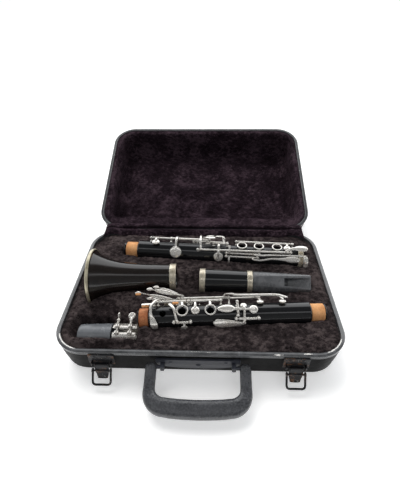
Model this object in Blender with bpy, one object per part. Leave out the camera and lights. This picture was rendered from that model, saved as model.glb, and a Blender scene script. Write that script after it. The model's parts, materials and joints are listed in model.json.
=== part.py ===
"""A B-flat clarinet taken apart in its fitted hard case, with the case open.

Frame: metres, +Z up.  The origin is on the ground under the middle of the
case base; +X runs along the case to the mouthpiece end, -Y is the handle side.
The lid is modelled shut, about the hinge pin, and its parent empty holds it
open.  Each clarinet section is modelled in a frame of its own: x runs along
the bore, z points to the finger-hole side, y to the player's right.
"""

import math

import bmesh
import bpy
import numpy as np
from mathutils import Matrix, Vector

MM = 0.001
GAP = 0.3  # clearance between neighbouring pieces, mm

# ---- case (mm) ----
CASE_L, CASE_D, CASE_R = 325.0, 218.0, 35.0
BASE_H, LID_H, WALL = 44.0, 49.5, 2.5
RIM_H, RIM_PROUD, RIM_T = 6.0, 0.9, 4.0
PIVOT_BACK = 3.6  # hinge pin behind the case wall
LID_OPEN = 160.0  # degrees from shut to the open stop
LINING_TOP = 39.5
HINGE_LEN, PIN_R = 200.0, 1.0
LATCH_X = 105.5
HANDLE_HALF, HANDLE_REACH, HANDLE_Z = 51.0, 40.5, 27.5

# ---- clarinet (mm) ----
BORE_R = 7.4
UPPER_L, UPPER_R = 221.0, 13.9
LOWER_L, LOWER_R = 250.0, 14.1
BELL_L, BELL_MOUTH_R = 108.0, 37.4
BARREL_L, BARREL_R = 67.0, 15.2
MOUTH_L, MOUTH_TENON = 73.0, 15.0
CAP_L, CAP_R = 40.0, 15.2
LIG_L, LIG_R = 27.0, 14.9

for old in list(bpy.data.objects):
    bpy.data.objects.remove(old)
COL = bpy.context.scene.collection


# ------------------------------------------------------------------ materials
def material(name, colour, rough, metal=0.0):
    mat = bpy.data.materials.new(name)
    mat.use_nodes = True
    bsdf = mat.node_tree.nodes["Principled BSDF"]
    bsdf.inputs["Base Color"].default_value = (*colour, 1.0)
    bsdf.inputs["Roughness"].default_value = rough
    bsdf.inputs["Metallic"].default_value = metal
    return mat


SHELL = material("case_shell_black", (0.015, 0.015, 0.017), 0.55)
RIM = material("case_rim_dark", (0.03, 0.03, 0.032), 0.35, 0.3)
PLUSH = material("plush_brown_black", (0.030, 0.022, 0.026), 0.95)
LIDPLUSH = material("plush_plum", (0.050, 0.030, 0.045), 0.95)
LATCH = material("latch_black_metal", (0.03, 0.03, 0.03), 0.4, 0.8)
GRIP = material("handle_plastic", (0.03, 0.03, 0.033), 0.6)
EBONITE = material("body_gloss_black", (0.008, 0.008, 0.009), 0.12)
BELLMAT = material("bell_brown_black", (0.022, 0.016, 0.013), 0.15)
NICKEL = material("key_nickel", (0.78, 0.74, 0.68), 0.2, 1.0)
RINGMAT = material("ring_nickel_silver", (0.62, 0.57, 0.45), 0.3, 1.0)
CORK = material("tenon_cork", (0.62, 0.36, 0.20), 0.9)
RUBBER = material("mouthpiece_rubber", (0.035, 0.035, 0.038), 0.35)
CAPMAT = material("cap_satin_plastic", (0.045, 0.047, 0.05), 0.4)


# ---------------------------------------------------------- mesh construction
def mesh_of(verts, faces):
    bm = bmesh.new()
    vs = [bm.verts.new(v) for v in verts]
    for f in faces:
        bm.faces.new([vs[i] for i in f])
    bmesh.ops.recalc_face_normals(bm, faces=bm.faces)
    if bm.calc_volume(signed=True) < 0:
        bmesh.ops.reverse_faces(bm, faces=bm.faces)
    mesh = bpy.data.meshes.new("m")
    bm.to_mesh(mesh)
    bm.free()
    return mesh


def loft(loops, ring=False):
    """Joins loops of equal length; the ends are capped, or joined when ring."""
    n = len(loops[0])
    verts = [p for loop in loops for p in loop]
    faces = []
    count = len(loops)
    for i in range(count if ring else count - 1):
        a, b = i * n, ((i + 1) % count) * n
        for k in range(n):
            j = (k + 1) % n
            faces.append((a + k, a + j, b + j, b + k))
    if not ring:
        faces.append(tuple(range(n)))
        faces.append(tuple((count - 1) * n + k for k in range(n)))
    return mesh_of(verts, faces)


def lathe(profile, n, closed=True):
    """Turns (x, r) round the x axis. A closed profile makes a ring; an open one starts and ends on the axis."""
    verts, index = [], []
    for x, r in profile:
        if r < 1e-6:
            index.append([len(verts)] * n)
            verts.append((x, 0.0, 0.0))
        else:
            row = []
            for k in range(n):
                a = 2 * math.pi * (k + 0.5) / n
                row.append(len(verts))
                verts.append((x, r * math.sin(a), r * math.cos(a)))
            index.append(row)
    faces = []
    count = len(profile)
    for i in range(count if closed else count - 1):
        p, q = index[i], index[(i + 1) % count]
        for k in range(n):
            j = (k + 1) % n
            face = []
            for v in (p[k], p[j], q[j], q[k]):
                if v not in face:
                    face.append(v)
            if len(face) > 2:
                faces.append(tuple(face))
    return mesh_of(verts, faces)


def basis(direction, hint=(0, 0, 1)):
    d = Vector(direction).normalized()
    side = d.cross(Vector(hint))
    if side.length < 1e-4:
        side = d.cross(Vector((1, 0, 0)))
    side.normalize()
    return d, side, side.cross(d).normalized()


def polar(s, theta, radius):
    a = math.radians(theta)
    return Vector((s, radius * math.sin(a), radius * math.cos(a)))


def cylinder(p, q, r, n=6, r2=None):
    p, q = Vector(p), Vector(q)
    d, u, v = basis(q - p)
    r2 = r if r2 is None else r2
    loops = []
    for c, rad in ((p, r), (q, r2)):
        loops.append([c + (u * math.cos(a) + v * math.sin(a)) * rad for a in (2 * math.pi * k / n for k in range(n))])
    return loft(loops)


def ball(c, r, n=6):
    rows = 3
    profile = [(-r, 0.0)] + [(-r * math.cos(math.pi * i / rows), r * math.sin(math.pi * i / rows)) for i in range(1, rows)] + [(r, 0.0)]
    mesh = lathe(profile, n, closed=False)
    mesh.transform(Matrix.Translation(Vector(c)))
    return mesh


def turned(p, direction, profile, n=14, closed=False):
    """A lathe profile set at p with its x along direction."""
    mesh = lathe(profile, n, closed)
    d, u, v = basis(direction)
    rot = Matrix((d, u, v)).transposed().to_4x4()
    mesh.transform(Matrix.Translation(Vector(p)) @ rot)
    return mesh


def block(lo, hi):
    (a, b, c), (d, e, f) = lo, hi
    return loft([[(a, b, c), (d, b, c), (d, e, c), (a, e, c)], [(a, b, f), (d, b, f), (d, e, f), (a, e, f)]])


def prism(outline, z0, z1):
    return loft([[(x, y, z0) for x, y in outline], [(x, y, z1) for x, y in outline]])


def ribbon(stations):
    """A bar through stations (s, theta, R, width, thickness) in a section's polar frame."""
    centres = [polar(*st[:3]) for st in stations]
    loops = []
    for i, st in enumerate(stations):
        a = math.radians(st[1])
        radial = Vector((0, math.sin(a), math.cos(a)))
        ahead = centres[min(i + 1, len(centres) - 1)] - centres[max(i - 1, 0)]
        side = ahead.cross(radial).normalized()
        up = side.cross(ahead).normalized()
        w, t = side * st[3] / 2, up * st[4] / 2
        c = centres[i]
        loops.append([c - w - t, c + w - t, c + w + t, c - w + t])
    return loft(loops)


def bake(obj):
    graph = bpy.context.evaluated_depsgraph_get()
    mesh = bpy.data.meshes.new_from_object(obj.evaluated_get(graph))
    return mesh


def combine(base, others, operation):
    for other in others:
        a = bpy.data.objects.new("a", base)
        b = bpy.data.objects.new("b", other)
        COL.objects.link(a)
        COL.objects.link(b)
        mod = a.modifiers.new("bool", "BOOLEAN")
        mod.solver = "EXACT"
        mod.operation = operation
        mod.object = b
        bpy.context.view_layer.update()
        base = bake(a)
        bpy.data.objects.remove(a)
        bpy.data.objects.remove(b)
    return base


def union(parts):
    return combine(parts[0], parts[1:], "UNION")


def cut(base, cutters):
    return combine(base, cutters, "DIFFERENCE")


def empty(name, location, tilt=0.0, roll=0.0, parent=None):
    obj = bpy.data.objects.new(name, None)
    obj.location = [v * MM for v in location]
    obj.rotation_euler = (math.radians(roll), 0.0, math.radians(tilt))
    COL.objects.link(obj)
    obj.parent = parent
    return obj


def add(name, mesh, mat, parent=None, origin=(0, 0, 0), smooth=40.0):
    """Names a piece, with its origin set at a point of its parent's frame (mm)."""
    mesh = mesh.copy()
    mesh.transform(Matrix.Scale(MM, 4) @ Matrix.Translation(-Vector(origin)))
    mesh.name = name
    mesh.materials.clear()
    mesh.materials.append(mat)
    if smooth:
        mesh.shade_smooth()
        mesh.set_sharp_from_angle(angle=math.radians(smooth))
    obj = bpy.data.objects.new(name, mesh)
    COL.objects.link(obj)
    obj.parent = parent
    obj.location = [v * MM for v in origin]
    return obj


# ----------------------------------------------------------------------- case
def rounded(length, depth, radius, z, n=5):
    """A rounded rectangle at height z, anticlockwise."""
    pts = []
    for cx, cy, start in ((1, 1, 0), (-1, 1, 90), (-1, -1, 180), (1, -1, 270)):
        for k in range(n + 1):
            a = math.radians(start + 90 * k / n)
            pts.append(
                (
                    cx * (length / 2 - radius) + radius * math.cos(a),
                    cy * (depth / 2 - radius) + radius * math.sin(a),
                    z,
                )
            )
    return pts


def case_loop(inset, z):
    return rounded(CASE_L - 2 * inset, CASE_D - 2 * inset, CASE_R - inset, z)


def tray(height, edge, draft):
    """A moulded tray, floor down: drafted walls and a rounded floor edge."""
    top = height - RIM_H - GAP
    outer = [case_loop(draft + edge * (1 - math.sin(a)), edge * (1 - math.cos(a))) for a in (0.0, math.pi / 6, math.pi / 3, math.pi / 2)]
    inner = [
        case_loop(WALL, top),
        case_loop(draft + WALL, edge),
        case_loop(draft + WALL + 0.45 * (edge - WALL), WALL + 0.3 * (edge - WALL)),
        case_loop(draft + edge, WALL),
    ]
    return loft(outer + [case_loop(0.0, top)] + inner)


def rim(z0, z1, step_at):
    """The frame round the mouth, with a bead on its outer face."""
    out = -RIM_PROUD
    zs = (z0, step_at, step_at, z1)
    loops = [
        case_loop(0.3, z0),
        case_loop(out + 0.5, z0 + 0.5 * math.copysign(1, z1 - z0)),
        case_loop(out, step_at),
        case_loop(out + 0.3, z1),
        case_loop(RIM_T, z1),
        case_loop(RIM_T, z0),
    ]
    return loft(loops, ring=True)


base_shell = tray(BASE_H, 10.0, 4.0)
add("base_shell", base_shell, SHELL)
add("base_rim", rim(BASE_H - RIM_H, BASE_H - 0.2, BASE_H - 2.6), RIM)

# The hinge pin lies in the plane where the rims meet, behind the back wall.
PIVOT = (0.0, CASE_D / 2 + PIVOT_BACK, BASE_H)
lid_axis = empty("lid_hinge_axis", PIVOT)
lid_axis.rotation_euler = (math.radians(-LID_OPEN), 0.0, 0.0)


def shut(mesh):
    """From the shut position in the world to the lid's own frame."""
    mesh.transform(Matrix.Translation(-Vector(PIVOT)))
    return mesh


lid_shell = tray(LID_H, 8.0, 2.5)
lid_shell.transform(Matrix.Translation((0, 0, BASE_H + LID_H)) @ Matrix.Rotation(math.pi, 4, "X"))
add("lid_shell", shut(lid_shell), SHELL, lid_axis)
add("lid_rim", shut(rim(BASE_H + RIM_H, BASE_H + 0.2, BASE_H + 2.6)), RIM, lid_axis)

# Piano hinge: each leaf is a strip on the rim's back with its own knuckles.
KNUCKLE = HINGE_LEN / 5
back = CASE_D / 2 + RIM_PROUD + GAP


def leaf_of(sign, slots):
    z0, z1 = sorted((BASE_H + sign * 0.9, BASE_H + sign * 10.0))
    strip = block((-HINGE_LEN / 2, back, z0), (HINGE_LEN / 2, back + 1.0, z1))
    parts = [strip]
    for i in slots:
        x0 = -HINGE_LEN / 2 + i * KNUCKLE + 0.25
        x1 = x0 + KNUCKLE - 0.5
        a, b = sorted((BASE_H + sign * 0.4, BASE_H + sign * 2.1))
        parts.append(block((x0 + 0.6, back + 0.25, a), (x1 - 0.6, PIVOT[1] + 0.15, b)))
        parts.append(cylinder((x0, PIVOT[1], BASE_H), (x1, PIVOT[1], BASE_H), 2.3, 8))
    solid = union(parts)
    free = [i for i in range(5) if i not in slots]
    cutters = [cylinder((-HINGE_LEN, PIVOT[1], BASE_H), (HINGE_LEN, PIVOT[1], BASE_H), PIN_R + GAP, 6)]
    for i in free:
        x0 = -HINGE_LEN / 2 + i * KNUCKLE - 0.3
        cutters.append(cylinder((x0, PIVOT[1], BASE_H), (x0 + KNUCKLE + 0.6, PIVOT[1], BASE_H), 2.85, 8))
    return cut(solid, cutters)


add("hinge_leaf_base", leaf_of(-1, (0, 2, 4)), LATCH)
add("hinge_leaf_lid", shut(leaf_of(1, (1, 3))), LATCH, lid_axis)
add("hinge_pin", cylinder((-HINGE_LEN / 2 - 1, PIVOT[1], BASE_H), (HINGE_LEN / 2 + 1, PIVOT[1], BASE_H), PIN_R - 0.1, 6), NICKEL)

# Lid lining: a padded skin with a raised border round a shallow well.
IN = WALL + GAP + 0.2
lid_top = BASE_H + LID_H
lining = loft(
    [
        case_loop(11.0, lid_top - WALL - GAP),
        case_loop(8.0, lid_top - 4.6),
        case_loop(5.5, lid_top - 8.4),
        case_loop(IN + 0.2, BASE_H + RIM_H + 0.6),
        case_loop(RIM_T + GAP, BASE_H + RIM_H + 0.3),
        case_loop(RIM_T + GAP, BASE_H + 3.0),
        case_loop(RIM_T + 7.0, BASE_H + 3.0),
        case_loop(RIM_T + 8.5, lid_top - 7.0),
        case_loop(RIM_T + 11.0, lid_top - 4.8),
    ]
)
add("lid_lining", shut(lining), LIDPLUSH, lid_axis)

# ------------------------------------------------------------ section frames
upper = empty("upper_joint_frame", (-72.5, -58.5, 40.0), 3.34, 17.0)
lower = empty("lower_joint_frame", (-111.4, 68.7, 40.0), -3.6, 0.0)
bell = empty("bell_frame", (-140.0, 2.6, 46.6), 1.5, 0.0)
barrel = empty("barrel_frame", (-1.6, 2.2, 43.6), -1.3, 38.0)
liga = empty("ligature_frame", (-99.8, -73.5, 24.5), 0.6, 10.0)
cap = empty("cap_frame", (-142.0, -73.6, 23.2), 0.6, 0.0)

# --------------------------------------------------------------- base lining
# A padded block with a pocket for each section, cut straight down so that
# every section lifts out.
block_of = loft(
    [
        case_loop(15.4, WALL + GAP),
        case_loop(7.3, 10.7),
        case_loop(IN + 0.8, BASE_H - RIM_H - 0.8),
        case_loop(RIM_T + GAP, BASE_H - RIM_H - 0.4),
        case_loop(RIM_T + GAP, LINING_TOP),
    ]
)


def pocket(frame, s0, s1, y0, y1, floor, y0b=None, y1b=None):
    """A straight-sided pocket along a section, y measured square to its axis."""
    y0b = y0 if y0b is None else y0b
    y1b = y1 if y1b is None else y1b
    a = frame.rotation_euler[2]
    o = frame.location / MM
    out = []
    for s, y in ((s0, y0), (s1, y0b), (s1, y1b), (s0, y1)):
        out.append((o.x + s * math.cos(a) - y * math.sin(a), o.y + s * math.sin(a) + y * math.cos(a)))
    return prism(out, floor, LINING_TOP + 5)


pockets = [
    pocket(bell, -4.5, 12, -40.4, 40.4, 6.6),
    pocket(bell, 10, 40, -35.8, 35.8, 8.0, -21, 21),
    pocket(bell, 36, 114, -22, 22, 17.0, -19.5, 19.5),
    pocket(barrel, -5, 74, -18.5, 18.5, 25.0),
    pocket(barrel, 72, 155.5, -16, 16, 25.0),
    pocket(upper, -4, 225, -18.5, 18.5, 24.4),
    pocket(upper, 2, 80, -6, 27.6, 30.0),
    pocket(upper, 66, 200, -13, 13, 12.0),
    pocket(upper, 49, 60.5, -20.8, -10, 33.0),
    pocket(lower, -4, 254, -24.5, 21.5, 22.8),
    pocket(lower, 96, 124, -9, 9, 10.0),
    pocket(cap, -1.5, 71.5, -16.8, 16.8, 5.6),
    pocket(cap, 41.5, 71.5, -16.4, 25.5, 34.0),
]
add("base_lining", cut(block_of, pockets), PLUSH)

# ------------------------------------------------------------ handle, latches
front = -CASE_D / 2
bracket = prism(
    [(-46, -1), (46, -1), (46, -6.5)] + [(46 * math.cos(a), -6.5 - 9.5 * math.sin(a) ** 0.8) for a in (math.pi * k / 12 for k in range(1, 12))] + [(-46, -6.5)],
    0.0,
    2.4,
)
# The plate's outline is drawn in x, z; it stands on the front wall.
bracket.transform(Matrix.Translation((0, front - 0.3 - 2.1, 36.0)) @ Matrix.Rotation(math.pi / 2, 4, "X") @ Matrix.Translation((0, 0, -2.4)))
lugs = []
for side in (-1, 1):
    x0, x1 = sorted((side * 41.0, side * 36.5))
    lugs.append(block((x0, front - 9.6, HANDLE_Z - 3.6), (x1, front - 1.5, HANDLE_Z + 3.6)))
    lugs.append(cylinder((side * 40.0, front - 6.6, HANDLE_Z), (side * 47.6, front - 6.6, HANDLE_Z), 2.0, 10))
lugs.append(cylinder((0, front - 1.5, HANDLE_Z), (0, front - 3.6, HANDLE_Z), 2.4, 10))
add("handle_bracket", union([bracket] + lugs), LATCH)

HANDLE_PIVOT = (0.0, front - 6.6, HANDLE_Z)
DROOP = math.radians(19.0)


def handle_curve(k, n=26):
    """The centre line of the grip: up one arm, round the corner, across and back."""
    half, reach, corner = HANDLE_HALF, HANDLE_REACH, 17.0
    pts = [(-half, 3.4), (-half, 0.0), (-half, -(reach - corner) * 0.5)]
    for i in range(7):
        a = math.pi + math.pi / 2 * i / 6
        pts.append((-half + corner + corner * math.cos(a), -(reach - corner) + corner * math.sin(a)))
    pts += [(-20.0, -reach - 1.4), (0.0, -reach - 2.0)]
    pts += [(-x, y) for x, y in reversed(pts[:-1])]
    return pts


loops = []
line = handle_curve(0)
for i, (x, y) in enumerate(line):
    ax, ay = line[min(i + 1, len(line) - 1)]
    bx, by = line[max(i - 1, 0)]
    d = Vector((ax - bx, ay - by, 0)).normalized()
    side = Vector((-d.y, d.x, 0))
    grip = min(1.0, max(0.0, (-y - 20) / 25.0))
    w, t = 6.2 + 3.6 * grip, 4.4 + 4.0 * grip
    c = Vector((x, y, 0))
    loops.append([c + side * w * math.cos(a) + Vector((0, 0, t * math.sin(a))) for a in (2 * math.pi * k / 8 for k in range(8))])
handle = loft(loops)
handle.transform(Matrix.Rotation(DROOP, 4, "X"))
handle.transform(Matrix.Translation(HANDLE_PIVOT))
pin_holes = [cylinder((side * 44.8, HANDLE_PIVOT[1], HANDLE_Z), (side * 48.4, HANDLE_PIVOT[1], HANDLE_Z), 2.35, 10) for side in (-1, 1)]
add("handle_grip", cut(handle, pin_holes), GRIP, None, HANDLE_PIVOT)

# Draw latches: a plate on the base, a lever pinned to it, a wire loop pinned
# to the lever, and a hooked strike on the lid.
for side, label in ((-1, "left"), (1, "right")):
    cx = side * LATCH_X
    plate = block((cx - 14, front - 2.6, 24.5), (cx + 14, front - 1.35, 41.0))
    parts = [plate]
    for e in (-1, 1):
        parts.append(block((cx + e * 10.4 - 1.0, front - 6.4, 25.0), (cx + e * 10.4 + 1.0, front - 2.0, 31.0)))
    parts.append(cylinder((cx - 10.2, front - 5.0, 28.0), (cx + 10.2, front - 5.0, 28.0), 0.7, 8))
    add("latch_plate_" + label, union(parts), LATCH)
    axis = (cx, front - 5.0, 28.0)
    lever = loft(
        [
            [(cx + e, y, z) for e, y, z in ((-6.6, front - 6.5, 29.5), (6.6, front - 6.5, 29.5), (6.6, front - 3.4, 29.4), (-6.6, front - 3.4, 29.4))],
            [(cx + e, y, z) for e, y, z in ((-6.6, front - 7.4, 27.0), (6.6, front - 7.4, 27.0), (6.6, front - 3.2, 26.0), (-6.6, front - 3.2, 26.0))],
            [(cx + e, y, z) for e, y, z in ((-6.6, front - 8.2, 18.0), (6.6, front - 8.2, 18.0), (6.6, front - 6.4, 17.6), (-6.6, front - 6.4, 17.6))],
            [(cx + e, y, z) for e, y, z in ((-5.2, front - 10.6, 11.0), (5.2, front - 10.6, 11.0), (5.2, front - 9.2, 10.4), (-5.2, front - 9.2, 10.4))],
        ]
    )
    lever = union([lever, cylinder((cx - 8.6, front - 8.6, 21.5), (cx + 8.6, front - 8.6, 21.5), 1.1, 8)])
    lever = cut(lever, [cylinder((cx - 12, front - 5.0, 28.0), (cx + 12, front - 5.0, 28.0), 1.05, 8)])
    add("latch_lever_" + label, lever, LATCH, None, axis)
    loop_axis = (cx, front - 8.6, 21.5)
    drop = math.radians(-52.0)
    flat = [(-9.9, 1.4), (-9.9, 15.0), (-9.0, 17.2), (-7.0, 18.0), (7.0, 18.0), (9.0, 17.2), (9.9, 15.0), (9.9, 1.4)]
    path = [Vector((cx + x, front - 8.6 - y * math.cos(drop), 21.5 + y * math.sin(drop))) for x, y in flat]
    normal = Vector((0, math.sin(drop), -math.cos(drop))).normalized()
    wire = []
    for i, p in enumerate(path):
        along = (path[min(i + 1, len(path) - 1)] - path[max(i - 1, 0)]).normalized()
        side_dir = along.cross(normal)
        wire.append([p + (side_dir * math.cos(t) + normal * math.sin(t)) * 0.95 for t in (2 * math.pi * k / 5 for k in range(5))])
    eyes = [turned((cx + e * 9.9 - 0.9, loop_axis[1], loop_axis[2]), (1, 0, 0), [(0, 1.5), (0, 2.7), (1.8, 2.7), (1.8, 1.5)], 8, closed=True) for e in (-1, 1)]
    chain = union([loft(wire)] + eyes)
    add("latch_loop_" + label, chain, LATCH, None, loop_axis)
    strike = union(
        [
            block((cx - 9, front - 2.6, BASE_H + 2.0), (cx + 9, front - RIM_PROUD - GAP, BASE_H + 14.0)),
            block((cx - 6, front - 5.6, BASE_H + 9.0), (cx + 6, front - 2.0, BASE_H + 11.0)),
            block((cx - 6, front - 5.6, BASE_H + 9.5), (cx + 6, front - 4.2, BASE_H + 13.4)),
        ]
    )
    add("strike_" + label, shut(strike), LATCH, lid_axis)

# ----------------------------------------------------------------------- bell
def bell_radius(s):
    """Outer radius of the bell, s from the mouth: an exponential flare."""
    return 16.2 + 20.6 * math.exp(-s / 22.0) + 0.5 * (1 - s / BELL_L)


n_bell = 24
outer = [(s, bell_radius(s)) for s in (3.6, 9, 17, 27, 40, 58, 78, 97.0)]
inner = [(108.0, 11.6), (90.0, 11.6), (90.0, 11.0), (70, 12.2), (50, 14.6), (34, 18.0), (22, 22.6), (10, 29.2), (0.4, 35.3)]
bell_body = lathe([(0.4, 35.9), (3.3, 35.9)] + outer + [(97.0, 15.0), (108.0, 15.0)] + inner, n_bell)
add("bell_body", bell_body, BELLMAT, bell)
ring = [(-0.6, 36.2), (0.8, 37.3), (2.6, 37.4), (3.2, 36.2)]
add("bell_rim_ring", lathe(ring, n_bell), RINGMAT, bell)
add("bell_socket_ring", lathe([(97.4, 15.3), (97.4, 17.2), (107.6, 17.2), (107.6, 15.3)], 20), RINGMAT, bell)

# -------------------------------------------------------- barrel, mouthpiece
barrel_body = lathe(
    [(0.2, 11.3), (0.2, 14.6), (7.6, 14.6), (7.6, 15.5), (22, 15.2), (45, 14.6), (60.2, 14.2), (60.2, 13.3), (66.8, 13.3), (66.8, 11.3), (49.5, 11.3), (49.5, BORE_R), (18.5, BORE_R), (18.5, 11.3)],
    20,
)
add("barrel_body", barrel_body, EBONITE, barrel)
add("barrel_ring_lower", lathe([(0.0, 14.9), (0.0, 16.0), (7.3, 16.0), (7.3, 14.9)], 20), RINGMAT, barrel)
add("barrel_ring_upper", lathe([(60.5, 13.6), (60.5, 14.7), (67.0, 14.7), (67.0, 13.6)], 20), RINGMAT, barrel)

mp0 = BARREL_L + GAP
blank = lathe(
    [(-MOUTH_TENON, 0.0), (-MOUTH_TENON, 10.4), (-12.9, 10.4), (-12.9, 9.3), (-2.6, 9.3), (-2.6, 10.4), (0, 10.4), (0, 13.2), (2.0, 13.8), (30, 12.9), (MOUTH_L, 11.3), (MOUTH_L, 0.0)],
    20,
    closed=False,
)
# The table is a flat along the top; the beak slopes up to meet it at the tip.
table = loft([[(x, y, z) for y, z in ((-20, z0), (20, z0), (20, 30), (-20, 30))] for x, z0 in ((4.0, 12.9), (MOUTH_L + 5, 7.0))])
beak = loft([[(x, y, z) for y, z in ((-20, -30), (20, -30), (20, z1), (-20, z1))] for x, z1 in ((34.0, -13.6), (MOUTH_L + 5, 7.4))])
chamber = cylinder((-MOUTH_TENON - 5, 0, 0), (46, 0, 0), 7.0, 14)
window = loft(
    [
        [(34, -4.2, 2.0), (34, 4.2, 2.0), (34, 4.2, 20), (34, -4.2, 20)],
        [(48, -4.6, 2.0), (48, 4.6, 2.0), (48, 4.6, 20), (48, -4.6, 20)],
        [(MOUTH_L - 1.6, -5.4, 7.0), (MOUTH_L - 1.6, 5.4, 7.0), (MOUTH_L - 1.6, 5.4, 20), (MOUTH_L - 1.6, -5.4, 20)],
    ]
)
mouth = cut(blank, [table, beak, chamber, window])
mouth.transform(Matrix.Translation((mp0, 0, 0)))
add("mouthpiece_body", mouth, RUBBER, barrel, (mp0, 0, 0))
add("mouthpiece_tenon_cork", lathe([(mp0 - 12.6, 9.6), (mp0 - 12.6, 11.0), (mp0 - 2.9, 11.0), (mp0 - 2.9, 9.6)], 20), CORK, barrel, (mp0, 0, 0))

# ------------------------------------------------------------- cap, ligature
cap_profile = [(0, 0), (0, 8.0), (1.2, 11.4), (4.0, 13.4), (10, 14.4), (26, 14.9), (CAP_L, CAP_R), (CAP_L, CAP_R - 1.7), (26, 13.2), (9, 12.0), (2.6, 6.0), (2.6, 0)]
add("mouthpiece_cap", lathe(cap_profile, 20, closed=False), CAPMAT, cap)

band = lathe([(0, LIG_R - 0.9), (0, LIG_R), (LIG_L, LIG_R - 0.5), (LIG_L, LIG_R - 1.4)], 24)
band = cut(band, [block((-2, -2.4, 5), (LIG_L + 2, 2.4, 25))])
rails = []
for side in (-1, 1):
    y = side * 4.2
    rails.append(block((0.4, y - 1.9, 12.2), (LIG_L - 0.4, y + 1.1 * 1.0, 15.2)))
for x in (5.5, 20.5):
    for side in (-1, 1):
        rails.append(block((x - 2.6, side * 4.2 - 1.7, 13.0), (x + 2.6, side * 4.2 + 1.7, 18.8)))
    
# The lugs carry the two screws; a bridge strip under the far lugs ties the band.
body = union([band] + rails)
holes = [cylinder((x, -9, 16.6), (x, 9, 16.6), 1.6, 10) for x in (5.5, 20.5)]
add("ligature_band", cut(body, holes), NICKEL, liga)
for i, x in enumerate((5.5, 20.5)):
    spin = 90 if i == 0 else 0
    stem = turned((x, -7.4, 16.6), (0, 1, 0), [(0, 0), (0, 1.2), (17.6, 1.2), (18.4, 2.1), (20.4, 2.1), (21.0, 1.2), (22.4, 0)], 6)
    a = math.radians(spin)
    u, v = Vector((math.cos(a), 0, math.sin(a))), Vector((-math.sin(a), 0, math.cos(a)))
    c = Vector((x, 18.2, 16.6))
    head = turned(c - v * 0.95, v, [(0, 0), (0, 3.6), (0.4, 4.2), (1.5, 4.2), (1.9, 3.6), (1.9, 0)], 10)
    add("ligature_screw_%d" % (i + 1), union([stem, head]), NICKEL, liga, (x, 0, 16.6))

# ------------------------------------------------------------- key furniture
def post(s, theta, radius, body_r, r=1.25, ball_r=2.0):
    a = polar(s, theta, body_r - 1.2)
    b = polar(s, theta, radius)
    return [cylinder(a, b + (b - a).normalized() * 1.2, r * 1.15, 5)]


def rod(s0, s1, theta, radius, r=1.4, theta2=None, radius2=None):
    return cylinder(polar(s0, theta, radius), polar(s1, theta if theta2 is None else theta2, radius if radius2 is None else radius2), r, 5)


def cup(s, theta, radius, r, h=2.6):
    """A pad cup: domed top, the pad's flat face towards the body."""
    d = polar(0, theta, 1.0)
    return turned(polar(s, theta, radius) - d * h * 0.5, d, [(0, 0), (0, r * 0.9), (h * 0.4, r), (h, r * 0.6), (h, 0)], 8)


def ring_key(s, theta, radius, r_out, r_in, h=1.7):
    d = polar(0, theta, 1.0)
    return turned(polar(s, theta, radius) - d * h * 0.5, d, [(0, r_in), (0, r_out - 0.3), (h, r_out), (h, r_in)], 12, closed=True)


def touch(c, axis, normal, a, b, h):
    """An oval finger touch, long along axis."""
    mesh = lathe([(-1, 0)] + [(-math.cos(math.pi * i / 4), math.sin(math.pi * i / 4)) for i in range(1, 4)] + [(1, 0)], 8, closed=False)
    x = Vector(axis).normalized()
    z = (Vector(normal) - x * Vector(normal).dot(x)).normalized()
    y = z.cross(x)
    mesh.transform(Matrix.Translation(Vector(c)) @ Matrix((x * a, y * b, z * h)).transposed().to_4x4())
    return mesh


def tube_body(length, radius, taper, left, right, n=20):
    """A joint's body: tenons at the ends given as (depth, cork start, cork end), or a socket."""
    prof = []
    l_len, c0, c1 = left
    prof += [(0, BORE_R), (0, 10.3), (c0, 10.3), (c0, 9.4), (c1, 9.4), (c1, 10.3), (l_len, 10.3), (l_len, radius - 0.4), (l_len + 0.8, radius)]
    if right[0] == "tenon":
        _, r_len, d0, d1 = right
        e = length - r_len
        prof += [(e - 0.8, taper), (e, taper - 0.4), (e, 10.1), (d0, 10.1), (d0, 9.2), (d1, 9.2), (d1, 10.1), (length, 10.1), (length, BORE_R)]
    else:
        _, ring_w, depth = right
        prof += [(length - ring_w - GAP - 14, taper), (length - ring_w - GAP - 5, taper + 1.2), (length - ring_w - GAP, taper + 1.3), (length - ring_w - GAP, taper + 0.2), (length, taper + 0.2), (length, 11.3), (length - depth, 11.3), (length - depth, BORE_R)]
    return lathe(prof, n)


def chimney(s, theta, body_r, r_out, top):
    return cylinder(polar(s, theta, body_r - 2.0), polar(s, theta, top), r_out, 10)


def hole(s, theta, r):
    return cylinder(polar(s, theta, 4.0), polar(s, theta, 22.0), r, 8)


# ---- upper joint ----
UB = tube_body(UPPER_L, UPPER_R, UPPER_R - 0.4, (13.4, 1.4, 12.8), ("tenon", 20.4, UPPER_L - 19.6, UPPER_L - 3.4))
RT, RR = 54.0, 18.4  # the ring keys' rod: angle and radius
UPOSTS = [
    (19.5, RT, RR), (59.8, RT, RR), (98.0, RT, RR),
    (23.6, 72, 18.0), (38.6, 72, 18.0),
    (43.0, -46, 17.0), (61.9, -46, 17.0),
    (114.6, -38, 17.4), (140.0, -38, 17.4),
    (48.0, 66, 21.6), (108.0, 66, 21.6), (172.0, 76, 19.4),
    (46.0, 82, 21.2), (144.6, 82, 21.2),
    (40.8, 96, 18.4), (62.8, 96, 18.4),
    (30.6, 112, 18.4), (73.0, 112, 18.4),
    (74.0, 150, 18.4), (99.0, 150, 18.4),
]
parts = [UB]
for s, th, r in UPOSTS:
    parts += post(s, th, r, UPPER_R)
for s, y, z in ((116.5, 9.9, 17.2), (116.5, -7.9, 17.2), (140.0, 6.4, -17.2), (140.0, -6.4, -17.2)):
    th = math.degrees(math.atan2(y, z))
    parts += post(s, th, math.hypot(y, z), UPPER_R, 1.1, 1.7)
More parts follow.
